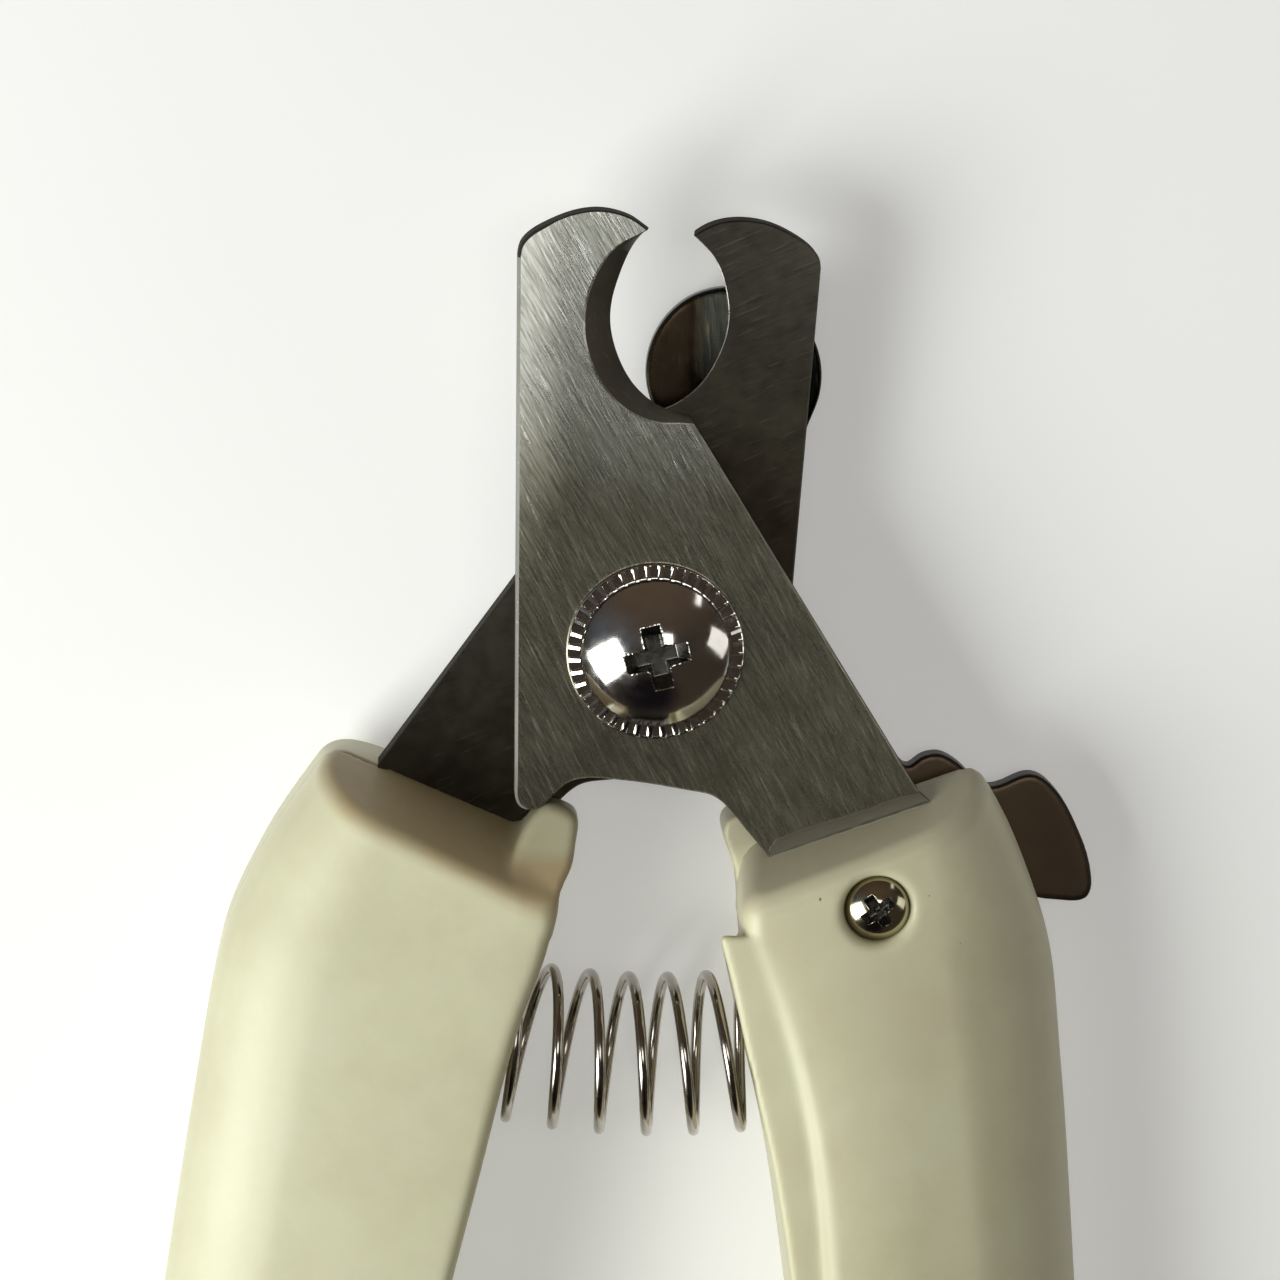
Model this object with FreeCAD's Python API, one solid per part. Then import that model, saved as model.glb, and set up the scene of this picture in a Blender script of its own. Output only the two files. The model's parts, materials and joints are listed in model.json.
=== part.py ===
import FreeCAD, Part
import os
import math

os.makedirs("parts", exist_ok=True)
V = FreeCAD.Vector

# ---------------------------------------------------------------------------
# Plier-type pet nail clipper, lying on the rear faces of its handles.
# Everything is drawn about the pivot axis: X to the right, Y towards the
# blade tips, Z up out of the front face.  The mating plane of the two blades
# is z = 0.  At the end all parts are shifted so that the origin is the
# bottom centre of the whole clipper's box.
# Each half (blade + handle) is the other one turned over about the Y axis.
# ---------------------------------------------------------------------------

# blades
BLADE_T = 2.50          # blade thickness
BLADE_GAP = 0.04        # running gap between the two blades
BEVEL_LEAD = 0.25       # flat land left on the mating side of the cutting edge
# pivot stack
BOLT_R = 3.00           # shoulder of the pivot screw
BORE_R = 3.05           # running bores on the shoulder
THREAD_R = 2.40         # threaded end
WASHER_R = 6.27         # serrated washer, outer radius
RIM_T = 0.95            # serrated washer height
RIBS = 40               # serrations on the washer rim
DOME_R = 5.20           # domed screw head radius
DOME_H = 2.55           # domed screw head height
PW_R, PW_T = 5.5, 0.38  # thrust washer between rear blade and guard
GUARD_T = 2.00          # guard plate thickness
WAVE_R, WAVE_T = 5.0, 0.42
NUT_AF, NUT_T = 8.0, 2.40
# handles
HALF_H = 8.20           # half thickness of a handle
TOP_DROP = 0.42         # fall of the sloped top face per mm away from mid-plane
SQUARE_TO = 5.60        # depth to which a square top runs before its rear edge is bevelled
WALL = 2.00             # wall of the hollow lower handle
SEAT_R = 6.35           # spring seat pocket radius
SEAT_DEPTH = 3.0        # spring seat pocket depth
SCREW_UP = (16.2, -17.1)   # upper handle screw
SCREW_LOW = (27.4, -96.0)  # lower handle screw
SHANK_R = 1.30          # self-tapping screw shank
HEAD_R = 2.25           # pan head radius
HEAD_H = 1.55           # pan head height
# return spring
SPRING_R = 5.50         # mean coil radius
WIRE_R = 0.375          # wire radius
SPRING_ARC_C = 24.6     # centre of the arc that the coil axis follows (on Y)
SPRING_ARC_R = 54.4     # radius of that arc
SPRING_HALF = 0.2165    # half of the arc that the spring spans, radians

ZF0 = BLADE_GAP / 2.0
ZF1 = ZF0 + BLADE_T

# ------------------------------------------------------------------ helpers


def spline(pts, z=0.0):
    c = Part.BSplineCurve()
    c.interpolate([V(p[0], p[1], z) for p in pts])
    return c.toShape()


def line(p, q, z=0.0):
    return Part.makeLine(V(p[0], p[1], z), V(q[0], q[1], z))


def polyline(pts):
    return [line(p, q) for p, q in zip(pts[:-1], pts[1:])]


def prism(edges, z0, z1):
    w = Part.Wire(Part.__sortEdges__(edges))
    f = Part.Face(w)
    f.translate(V(0, 0, z0))
    return f.extrude(V(0, 0, z1 - z0))


def poly_prism(pts, z0, z1):
    p = [V(a[0], a[1], z0) for a in pts]
    p.append(p[0])
    return Part.Face(Part.makePolygon(p)).extrude(V(0, 0, z1 - z0))


def cyl(x, y, z0, z1, r):
    return Part.makeCylinder(r, z1 - z0, V(x, y, z0), V(0, 0, 1))


def flip(shape):
    """The other half: half a turn about the Y axis."""
    s = shape.copy()
    s.rotate(V(0, 0, 0), V(0, 1, 0), 180)
    return s


def one_solid(shape):
    s = shape.removeSplitter()
    if len(s.Solids) == 1:
        return s.Solids[0]
    big = sorted(s.Solids, key=lambda q: -q.Volume)
    return big[0]


# ------------------------------------------------------------------- blades
# Outline of the front blade.  Jaw at upper left, tang at lower right.
TIP = (-1.45, 28.92)
JAW_TOP = [(-10.55, 27.2), (-10.40, 28.05), (-9.85, 28.80), (-8.85, 29.52), (-7.6, 30.10),
           (-6.3, 30.45), (-5.0, 30.54), (-3.9, 30.38), (-2.9, 30.00), (-2.1, 29.52), TIP]
EDGE = [TIP, (-2.10, 28.36), (-2.80, 27.62), (-3.35, 26.76), (-3.77, 25.60), (-4.05, 24.40),
        (-4.14, 23.30), (-4.05, 22.25), (-3.75, 21.10), (-3.20, 19.80), (-2.40, 18.55),
        (-1.55, 17.70), (-0.60, 17.05), (0.50, 16.60), (1.75, 16.38)]
SHOULDER = (1.75, 16.38)
BACK = [SHOULDER, (10.7, 3.0), (19.1, -9.5)]
TANG_OUT = [(19.1, -9.5), (20.9, -12.6), (24.0, -22.0), (24.6, -34.5)]
TANG_END = [(24.6, -34.5), (22.4, -39.2), (17.6, -39.2), (15.7, -36.5)]
TANG_IN = [(15.7, -36.5), (15.4, -24.5), (11.2, -18.2), (8.25, -13.95)]
BOTTOM = [(8.25, -13.95), (6.80, -12.35), (5.60, -11.00), (4.60, -10.28), (3.2, -9.98), (-0.10, -9.52),
          (-2.50, -9.32), (-4.60, -9.32), (-5.60, -9.62), (-6.85, -10.85)]
HEEL = [(-6.85, -10.85), (-7.5, -11.45), (-8.20, -11.72), (-8.80, -11.45), (-9.08, -10.85), (-9.12, -9.95)]
SPINE = [(-9.12, -9.95), (-10.55, 27.2)]

# Front rim of the bevel that is ground into the notch
BEVEL = [(-1.62, 29.02), (-2.55, 28.58), (-3.75, 28.18), (-4.62, 27.50), (-5.45, 26.10), (-5.93, 24.60),
         (-6.06, 23.17), (-5.90, 21.57), (-5.38, 19.99), (-4.55, 18.59), (-3.53, 17.45), (-2.38, 16.68),
         (-1.22, 16.24), (-0.22, 16.08), (0.75, 16.12), (1.95, 16.10)]


def make_blade():
    """Front blade, between z = ZF0 and ZF1, with its notch bevel on top."""
    edges = [spline(JAW_TOP), spline(EDGE)]
    edges += [line(BACK[0], BACK[1]), line(BACK[1], BACK[2])]
    edges += polyline(TANG_OUT) + polyline(TANG_END) + polyline(TANG_IN)
    edges += [spline(BOTTOM), spline(HEEL)]
    edges += [line(SPINE[0], SPINE[1])]
    body = prism(edges, ZF0, ZF1)
    # bevel cutter: ruled loft between the cutting edge and the front rim, carried on above the face
    n = 40
    ce = Part.BSplineCurve()
    ce.interpolate([V(p[0], p[1], 0) for p in EDGE])
    be = Part.BSplineCurve()
    be.interpolate([V(p[0], p[1], 0) for p in BEVEL])

    def sample(c, i):
        a, b = c.FirstParameter, c.LastParameter
        L = c.length()
        return c.value(c.parameterAtDistance(L * i / float(n), a))
    lower, upper = [], []
    zl = ZF0 + BEVEL_LEAD
    for i in range(n + 1):
        p = sample(ce, i)
        q = sample(be, i)
        d = q.sub(p)
        # rule through the land (z = zl) and the face rim (z = ZF1), extended above
        k = 1.25
        lower.append(V(p.x - 0.03 * d.x, p.y - 0.03 * d.y, zl - 0.03 * (ZF1 - zl)))
        upper.append(V(p.x + k * d.x, p.y + k * d.y, zl + k * (ZF1 - zl)))
    c1 = Part.BSplineCurve()
    c1.interpolate(lower)
    c2 = Part.BSplineCurve()
    c2.interpolate(upper)
    ruled = Part.makeRuledSurface(c1.toShape(), c2.toShape())
    # close the cutter on the open side of the notch
    e1, e2 = c1.toShape(), c2.toShape()
    a0, a1 = lower[0], lower[-1]
    b0, b1 = upper[0], upper[-1]
    f0 = V(5.5, 30.6, a0.z)
    f1 = V(5.5, 15.2, a1.z)
    g0 = V(5.5, 30.6, b0.z)
    g1 = V(5.5, 15.2, b1.z)
    bot = Part.Face(Part.Wire([e1, Part.makeLine(a1, f1), Part.makeLine(f1, f0), Part.makeLine(f0, a0)]))
    top = Part.Face(Part.Wire([e2, Part.makeLine(b1, g1), Part.makeLine(g1, g0), Part.makeLine(g0, b0)]))
    faces = [ruled, bot, top]
    faces.append(Part.makeRuledSurface(Part.makeLine(a1, f1), Part.makeLine(b1, g1)))
    faces.append(Part.makeRuledSurface(Part.makeLine(f1, f0), Part.makeLine(g1, g0)))
    faces.append(Part.makeRuledSurface(Part.makeLine(f0, a0), Part.makeLine(g0, b0)))
    fl = []
    for f in faces:
        fl += f.Faces
    sh = Part.makeShell(fl)
    sh.sewShape()
    cut = Part.makeSolid(sh)
    if cut.Volume < 0:
        cut.reverse()
    body = body.cut(cut)
    # pivot bore, screw hole and locating hole in the tang
    body = body.cut(cyl(0, 0, -1, 4, BORE_R))
    body = body.cut(cyl(SCREW_UP[0], SCREW_UP[1], -1, 4, 1.65))
    body = body.cut(cyl(20.2, -32.5, -1, 4, 2.0))
    return one_solid(body)


front_blade = make_blade()
rear_blade = flip(front_blade)

# -------------------------------------------------------------- pivot stack
# Serrated washer: a low cone with ribs pressed round its rim
z0 = ZF1
rim = Part.makeCone(WASHER_R, DOME_R + 0.05, RIM_T, V(0, 0, z0), V(0, 0, 1))
rim = rim.cut(cyl(0, 0, z0 - 1, z0 + 5, BORE_R))
groove = None
for i in range(RIBS):
    a = 2 * math.pi * (i + 0.5) / RIBS
    g = Part.makeBox(2.6, 0.36, 2.0, V(DOME_R + 0.18, -0.18, z0 + 0.32))
    g.rotate(V(DOME_R + 0.18, 0, z0 + 0.32), V(0, 1, 0), 24)
    g.rotate(V(0, 0, 0), V(0, 0, 1), math.degrees(a))
    groove = g if groove is None else groove.fuse(g)
serrated_washer = one_solid(rim.cut(groove))

# Pivot screw: domed head with a cross recess, shoulder through the stack, threaded end
zh = z0 + RIM_T
R_SPH = (DOME_R ** 2 + DOME_H ** 2) / (2 * DOME_H)
sph = Part.makeSphere(R_SPH, V(0, 0, zh + DOME_H - R_SPH))
head = sph.common(cyl(0, 0, zh, zh + DOME_H + 1, DOME_R))
cross = None
for k in range(2):
    b = Part.makeBox(5.2, 1.35, 3.0, V(-2.6, -0.675, zh + DOME_H - 1.55))
    b.rotate(V(0, 0, 0), V(0, 0, 1), 10 + 90 * k)
    cross = b if cross is None else cross.fuse(b)
cone_cut = Part.makeCone(0.35, 1.5, 2.0, V(0, 0, zh + DOME_H - 2.15), V(0, 0, 1))
head = head.cut(cross).cut(cone_cut)
ZG1 = -ZF1 - PW_T - 0.06          # front of the guard plate
ZG0 = ZG1 - GUARD_T               # back of the guard plate
ZW0 = ZG0 - 0.03 - WAVE_T - 0.02  # back of the wave washer
shoulder = cyl(0, 0, ZW0, zh, BOLT_R)
thread = cyl(0, 0, ZW0 - NUT_T - 0.15, ZW0, THREAD_R)
pivot_screw = one_solid(head.fuse(shoulder).fuse(thread))

pivot_washer = cyl(0, 0, -ZF1 - 0.03 - PW_T, -ZF1 - 0.03, PW_R).cut(cyl(0, 0, -9, 9, BORE_R))
wave_washer = cyl(0, 0, ZG0 - 0.03 - WAVE_T, ZG0 - 0.03, WAVE_R).cut(cyl(0, 0, -9, 9, BORE_R))
hexa = [(NUT_AF / math.sqrt(3) * math.cos(math.radians(60 * i + 8)),
         NUT_AF / math.sqrt(3) * math.sin(math.radians(60 * i + 8))) for i in range(6)]
nut = poly_prism(hexa, ZW0 - NUT_T, ZW0)
nut = nut.common(Part.makeCone(NUT_AF / 2 + 0.05, NUT_AF / 2 + 0.05 + NUT_T * 1.6, NUT_T, V(0, 0, ZW0 - NUT_T), V(0, 0, 1)))
lock_nut = one_solid(nut.cut(cyl(0, 0, -12, 0, THREAD_R + 0.02)))

# -------------------------------------------------------------- quick guard
# One plate: hub on the shoulder, arm up behind the jaws, arm out to the finger tab.
TAB = [(15.6, -5.2), (17.6, -7.6), (18.9, -8.75), (19.6, -8.2), (20.3, -7.88), (21.0, -7.80), (21.75, -8.05), (22.5, -8.52),
       (23.2, -9.15), (24.0, -9.85), (24.7, -10.05), (25.8, -9.78), (26.85, -9.24), (27.6, -9.05), (28.4, -9.22), (29.3, -9.9),
       (30.2, -10.96), (30.85, -12.04), (31.4, -13.12), (31.9, -14.21), (32.27, -15.3), (32.5, -16.4), (32.52, -17.35),
       (32.2, -17.97), (31.65, -18.2), (30.6, -18.22), (29.2, -18.15)]
ARM_LOW = [(29.2, -18.15), (26.8, -17.7), (24.0, -16.4), (18.0, -13.1), (12.0, -10.4), (6.0, -8.3)]
HUB_R = 7.6
HEAD_C = (5.0, 18.8)
HEAD_RAD = 6.15
tab = prism([spline(TAB), spline(ARM_LOW), line((6.0, -8.3), (0, 0)), line((0, 0), (9.0, 0.5)),
             line((9.0, 0.5), (15.6, -5.2))], ZG0, ZG1)
hub = cyl(0, 0, ZG0, ZG1, HUB_R)
arm = poly_prism([(-3.0, 5.0), (0.8, 13.0), (3.2, 17.0), (9.6, 17.0), (10.1, 13.0), (8.6, 5.0), (7.4, 0.0), (0, 0)], ZG0, ZG1)
# head: a round disc.  Right of the fold line it lies in the plate's plane and leans back,
# left of it it stands further back, so that the claw has room in front of it.
FOLD_X = 6.4
SET = 2.55
disc = cyl(HEAD_C[0], HEAD_C[1], ZG0 - 6, ZG1 + 1, HEAD_RAD)


def band(pairs):
    """A sheet profile in the XZ plane, swept along Y."""
    p = [V(x, 5.0, z) for x, z in pairs]
    p.append(p[0])
    return Part.Face(Part.makePolygon(p)).extrude(V(0, 30, 0))


T = GUARD_T * 0.75
prof = [(13.0, ZG1), (8.6, ZG1), (3.4, ZG1 - SET), (-4.0, ZG1 - SET), (-4.0, ZG1 - SET - T), (3.0, ZG1 - SET - T),
        (8.0, ZG0), (13.0, ZG0)]
head_plate = band(prof).common(disc)
# the arm ramps into the head in the same profile
neck = band(prof).common(poly_prism([(-0.6, 10.5), (0.2, 17.0), (9.9, 17.0), (10.15, 10.5)], ZG0 - 6, ZG1 + 1))
arm_cut = arm.cut(Part.makeBox(30, 30, 20, V(-10, 12.2, ZG0 - 10)))
ramp = Part.makeBox(30, 30, 20, V(-10, -30 + 12.2, -20)).common(neck)
low_neck = Part.makeBox(14, 3.4, (ZG1 - (ZG1 - SET - T)), V(0.1, 10.4, ZG1 - SET - T))
low_neck = low_neck.common(poly_prism([(-0.6, 10.4), (0.1, 13.8), (10.1, 13.8), (9.6, 10.4)], ZG0 - 6, ZG1 + 1))
guard = hub.fuse(tab).fuse(arm_cut).fuse(low_neck).fuse(head_plate).fuse(neck)
guard = guard.cut(cyl(0, 0, -20, 20, BORE_R))
quick_guard = one_solid(guard)

# ------------------------------------------------------------------ handles
# Handle outline of the right half at the parting plane.
TOP_IN = (8.35, -13.62)
TOP_OUT = (21.2, -8.54)
OUTER = [TOP_OUT, (22.55, -8.45), (24.75, -10.8), (27.55, -16.2), (29.55, -22.3), (31.05, -32.0), (33.1, -50.0),
         (34.85, -70.0), (35.4, -88.0), (33.9, -103.5), (28.0, -113.0), (23.1, -109.4), (22.1, -105.0)]
INNER_A = [(22.1, -105.0), (19.9, -86.0), (16.55, -66.0), (13.9, -47.0), (12.0, -34.5), (9.95, -26.9), (7.6, -21.2),
           (6.85, -17.5), TOP_IN]
INNER_B_LEFT = [(22.1, -105.0), (19.9, -86.0), (16.5, -66.0), (12.9, -47.0), (10.35, -34.5), (8.50, -27.2), (6.9, -21.7),
                (6.2, -17.6), TOP_IN]
INNER_B_RIGHT = [(22.1, -105.0), (19.9, -86.0), (16.5, -66.0), (12.8, -47.0), (10.0, -34.5), (7.9, -26.6), (6.35, -21.2),
                 (6.0, -17.2), TOP_IN]


def top_cut(zs=0.0, drop=TOP_DROP):
    """Wedge that slopes the top face away from the parting plane, from z = zs up."""
    dx, dy = TOP_OUT[0] - TOP_IN[0], TOP_OUT[1] - TOP_IN[1]
    L = math.hypot(dx, dy)
    ux, uy = dx / L, dy / L
    nx, ny = -uy, ux
    a = V(TOP_IN[0] - 12 * ux, TOP_IN[1] - 12 * uy, 0)
    n = V(nx, ny, 0)
    d = drop * math.cos(math.atan2(uy, ux))
    a = a + V(0, 0, zs)
    p0 = a
    p1 = a + V(0, 0, 12) - n * (d * 12)
    p2 = a + V(0, 0, 12) + n * 25
    p3 = a + n * 25
    w = Part.Face(Part.makePolygon([p0, p1, p2, p3, p0]))
    return w.extrude(V(ux, uy, 0) * 40)


def edges_on_face(sh, z, tol=1e-4):
    out = []
    for e in sh.Edges:
        b = e.BoundBox
        if abs(b.ZMin - z) < tol and abs(b.ZMax - z) < tol:
            out.append(e)
    return out


def handle_block(inner, sloped=True):
    """Solid half of a handle, above the parting plane, its face edges rounded."""
    b = prism([line(TOP_IN, TOP_OUT), spline(OUTER + inner[1:])], 0, HALF_H)
    b = one_solid(b.cut(top_cut() if sloped else top_cut(SQUARE_TO, 1.30)))
    es = edges_on_face(b, HALF_H)
    for r in (2.6, 2.2, 1.8, 1.4):
        try:
            f = b.makeFillet(r, es)
            if f.isValid() and f.Volume > 0.5 * b.Volume:
                print("handle fillet", r)
                return one_solid(f)
        except Exception as ex:
            print("fillet failed", r, ex)
    return b


def lower_cavity():
    """Hollow of the lower handle, opening at the parting plane."""
    o = [(29.2, -44.0), (30.7, -56.0), (31.8, -68.0), (32.9, -80.0), (33.1, -90.0), (32.4, -99.0), (30.6, -105.6), (27.6, -110.2)]
    i = [(25.2, -108.6), (24.5, -103.0), (23.2, -92.0), (21.6, -82.0), (19.6, -71.0), (17.7, -60.0), (16.4, -50.0), (16.2, -44.0)]
    e = [spline(o), line(o[-1], i[0]), spline(i), line(i[-1], o[0])]
    c = prism(e, 0, HALF_H - WALL)
    return c


def seat_pocket():
    """Round seat of the return spring, sunk square to the coil axis."""
    a = SPRING_HALF
    c = V(SPRING_ARC_R * math.sin(a), SPRING_ARC_C - SPRING_ARC_R * math.cos(a), 0)
    d = V(math.cos(a), math.sin(a), 0)     # along the coil axis, outwards
    floor = c + d * (WIRE_R + 0.06)
    return Part.makeCylinder(SEAT_R, 9.0, floor - d * 9.0, d)


def blade_pocket(z0, z1, grow):
    e = polyline(TANG_OUT) + polyline(TANG_END) + polyline(TANG_IN)
    e += polyline([TANG_IN[-1], (6.2, -8.0), (17.4, -6.4), TANG_OUT[0]])
    w2 = Part.Wire(Part.__sortEdges__(e)).makeOffset2D(grow, join=2)
    f = Part.Face(w2)
    f.translate(V(0, 0, z0))
    return f.extrude(V(0, 0, z1 - z0))


pocket = blade_pocket(-0.001, ZF1 + 0.01, 0.05)
seat = seat_pocket()
cavity = lower_cavity()
low_boss = cyl(SCREW_LOW[0], SCREW_LOW[1], 0, HALF_H - 0.5, 3.4)

cavity = cavity.cut(low_boss)


def ok(name, s):
    if not s.isValid() or len(s.Solids) != 1:
        print("CHECK", name, s.isValid(), len(s.Solids))
    return s


# Shell A: screw heads sit in it.  It holds the tang.
def make_shell_a(sloped):
    s = ok("a block", handle_block(INNER_A, sloped))
    s = ok("a cavity", s.cut(cavity))
    # pocket for the tang, with a moulded peg left standing for the tang's second hole
    peg = cyl(20.2, -32.5, -1, ZF1 + 1.0, 1.95)
    s = ok("a pocket", s.cut(pocket.cut(peg)))
    s = ok("a seat", s.cut(seat))
    for (sx, sy) in (SCREW_UP, SCREW_LOW):
        s = s.cut(cyl(sx, sy, -1, 12, 1.5))
        s = s.cut(cyl(sx, sy, HALF_H - 1.75, 12, HEAD_R + 0.28))
    return one_solid(ok("a screws", s))


shell_a = make_shell_a(True)
# the left rear shell's top stands square to the parting plane
shell_a_square = make_shell_a(False)

# Shell B: pilot holes, stop nub at its inner top corner
NUB = [(4.85, -12.75), (5.9, -11.60), (6.9, -11.32), (8.0, -12.2), (9.4, -13.6)]
NUB_LOW = [(6.1, -17.8), (5.4, -15.4), (4.85, -12.75)]


def nub_block(h, dx=0.0, dy=0.0):
    e = [spline(NUB_LOW + NUB[1:]), line(NUB[-1], (9.6, -17.6)), line((9.6, -17.6), NUB_LOW[0])]
    n = prism(e, 0, h)
    # its front is bevelled back
    w = Part.Face(Part.makePolygon([V(0, -10.6, h - 3.2), V(0, -10.6, h + 1), V(0, -14.6, h + 1), V(0, -14.6, h),
                                    V(0, -10.6, h - 3.2)])).extrude(V(14, 0, 0))
    n = n.cut(w)
    n.translate(V(dx, dy, 0))
    return n


def pilot(s):
    for (sx, sy) in (SCREW_UP, SCREW_LOW):
        s = s.cut(cyl(sx, sy, -1, 7.0, SHANK_R + 0.02))
    return s


base_bl = ok("bl block", handle_block(INNER_B_LEFT))
shell_bl = ok("bl nub", base_bl.cut(cavity).fuse(nub_block(5.6)))
shell_bl = ok("bl seat", shell_bl.cut(seat))
shell_bl = one_solid(ok("bl pilot", pilot(shell_bl)))

# right one: a step above the spring seat, and a thin upper end that lets the guard swing behind it
base_br = ok("br block", handle_block(INNER_B_RIGHT))
notch = poly_prism([(2.0, -20.45), (6.0, -20.35), (7.35, -20.05), (7.2, -18.6), (6.8, -16.8), (6.6, -15.6), (6.4, -14.5), (2.0, -14.5)],
                   -1, HALF_H + 1)
shell_br = ok("br nub", base_br.cut(cavity).cut(notch).fuse(nub_block(5.6, 0.75, -0.55)))
shell_br = ok("br seat", shell_br.cut(seat))
# room for the guard plate: everything behind it, above the arm's lowest reach
GUARD_MIN, GUARD_MAX = -6.0, 16.0


def turned(pts, deg):
    c, s = math.cos(math.radians(deg)), math.sin(math.radians(deg))
    return [(c * x - s * y, s * x + c * y) for x, y in pts]


low = turned(ARM_LOW[::-1], GUARD_MIN)
low = [(x, y - 0.45) for x, y in low]
room_pts = [(-2.0, -8.6)] + low + [(40.0, low[-1][1] - 0.6), (40.0, 5.0), (-2.0, 5.0)]
room = poly_prism(room_pts, -(ZG1 + 0.12), 12)
shell_br = one_solid(ok("br room", pilot(shell_br).cut(room)))


def mirror_z(s):
    return s.mirror(V(0, 0, 0), V(0, 0, 1))


right_handle_front_shell = shell_a
right_handle_rear_shell = mirror_z(shell_br)
left_handle_rear_shell = flip(shell_a_square)
left_handle_front_shell = flip(mirror_z(shell_bl))


def handle_screw(x, y):
    zt = HALF_H - 1.75
    rs = (HEAD_R ** 2 + HEAD_H ** 2) / (2 * HEAD_H)
    h = Part.makeSphere(rs, V(x, y, zt + HEAD_H - rs)).common(cyl(x, y, zt, zt + 4, HEAD_R))
    for k in range(2):
        b = Part.makeBox(2.5, 0.62, 2.0, V(-1.25, -0.31, zt + HEAD_H - 0.95))
        b.rotate(V(0, 0, 0), V(0, 0, 1), 20 + 90 * k)
        b.translate(V(x, y, 0))
        h = h.cut(b)
    s = h.fuse(cyl(x, y, -6.0, zt, SHANK_R))
    s = s.fuse(Part.makeCone(0.15, SHANK_R, 0.9, V(x, y, -6.9), V(0, 0, 1)))
    return one_solid(s)


right_handle_screws = Part.makeCompound([handle_screw(*SCREW_UP), handle_screw(*SCREW_LOW)])
left_handle_screws = flip(right_handle_screws)

# -------------------------------------------------------------- return spring
# Outer envelope of the coil: a thin tube bent along the coil axis, as heavy as the wire
ang = math.degrees(2 * SPRING_HALF)
ring = Part.Face(Part.Wire(Part.makeCircle(SPRING_R + WIRE_R, V(0, 0, 0), V(1, 0, 0))))
hole = Part.Face(Part.Wire(Part.makeCircle(SPRING_R + WIRE_R - 0.16, V(0, 0, 0), V(1, 0, 0))))


def bent(face):
    f = face.copy()
    f.translate(V(0, SPRING_ARC_C - SPRING_ARC_R, 0))
    f.rotate(V(0, SPRING_ARC_C, 0), V(0, 0, 1), -ang / 2)
    return f.revolve(V(0, SPRING_ARC_C, 0), V(0, 0, 1), ang)


return_spring = one_solid(bent(ring).cut(bent(hole)))

# ------------------------------------------------------------------- export
nodes = {
    "front_blade": front_blade,
    "rear_blade": rear_blade,
    "pivot_screw": pivot_screw,
    "serrated_washer": serrated_washer,
    "pivot_washer": pivot_washer,
    "quick_guard": quick_guard,
    "wave_washer": wave_washer,
    "lock_nut": lock_nut,
    "right_handle_front_shell": right_handle_front_shell,
    "right_handle_rear_shell": right_handle_rear_shell,
    "left_handle_front_shell": left_handle_front_shell,
    "left_handle_rear_shell": left_handle_rear_shell,
    "right_handle_screws": right_handle_screws,
    "left_handle_screws": left_handle_screws,
    "return_spring": return_spring,
}

# origin: bottom centre of the box
box = None
for name, s in nodes.items():
    b = s.optimalBoundingBox() if hasattr(s, "optimalBoundingBox") else s.BoundBox
    if box is None:
        box = [b.XMin, b.YMin, b.ZMin, b.XMax, b.YMax, b.ZMax]
    else:
        box = [min(box[0], b.XMin), min(box[1], b.YMin), min(box[2], b.ZMin),
               max(box[3], b.XMax), max(box[4], b.YMax), max(box[5], b.ZMax)]
print("box about the pivot", [round(v, 3) for v in box])
SHIFT = V(-(box[0] + box[3]) / 2.0, -(box[1] + box[4]) / 2.0, -box[2])
print("pivot in the part frame", [round(v, 4) for v in SHIFT])
for name, s in nodes.items():
    t = s.copy()
    t.translate(SHIFT)
    if not t.isValid():
        print("INVALID", name)
    print("%-28s solids %d volume %.1f" % (name, len(t.Solids), t.Volume))
    t.exportStep("parts/%s.step" % name)
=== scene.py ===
import json
import math

import bpy
import numpy as np
from mathutils import Matrix, Vector


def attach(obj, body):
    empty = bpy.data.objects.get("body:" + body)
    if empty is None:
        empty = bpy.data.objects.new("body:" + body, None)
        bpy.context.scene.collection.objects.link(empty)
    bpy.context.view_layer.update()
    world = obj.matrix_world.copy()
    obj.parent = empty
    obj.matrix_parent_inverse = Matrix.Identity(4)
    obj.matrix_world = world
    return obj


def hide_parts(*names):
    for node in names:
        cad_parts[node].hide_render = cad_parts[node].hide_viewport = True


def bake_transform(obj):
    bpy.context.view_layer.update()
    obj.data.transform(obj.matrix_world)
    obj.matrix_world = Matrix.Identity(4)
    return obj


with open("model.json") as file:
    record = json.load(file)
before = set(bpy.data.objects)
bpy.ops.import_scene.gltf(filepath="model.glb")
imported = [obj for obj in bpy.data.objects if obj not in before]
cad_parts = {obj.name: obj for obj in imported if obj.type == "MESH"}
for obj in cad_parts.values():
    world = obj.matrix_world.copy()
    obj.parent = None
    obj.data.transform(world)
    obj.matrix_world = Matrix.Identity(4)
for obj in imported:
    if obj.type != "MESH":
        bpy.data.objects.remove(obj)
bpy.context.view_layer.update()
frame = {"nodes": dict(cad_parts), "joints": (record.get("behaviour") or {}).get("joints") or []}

MM = 0.001

# The pivot axis in the row frame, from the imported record
PIVOT_JOINT = [j for j in frame["joints"] if j["name"] == "blade_pivot"][0]
PIV = np.array(PIVOT_JOINT["pos_m"], float)


def row(p):
    """Millimetres about the pivot to metres in the row frame."""
    return PIV + np.asarray(p, float) * MM


# ---------------------------------------------------------------- materials
def new_mat(name):
    m = bpy.data.materials.new(name)
    m.use_nodes = True
    nt = m.node_tree
    for n in list(nt.nodes):
        nt.nodes.remove(n)
    out = nt.nodes.new("ShaderNodeOutputMaterial")
    bsdf = nt.nodes.new("ShaderNodeBsdfPrincipled")
    nt.links.new(bsdf.outputs[0], out.inputs[0])
    return m, nt, bsdf


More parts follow.
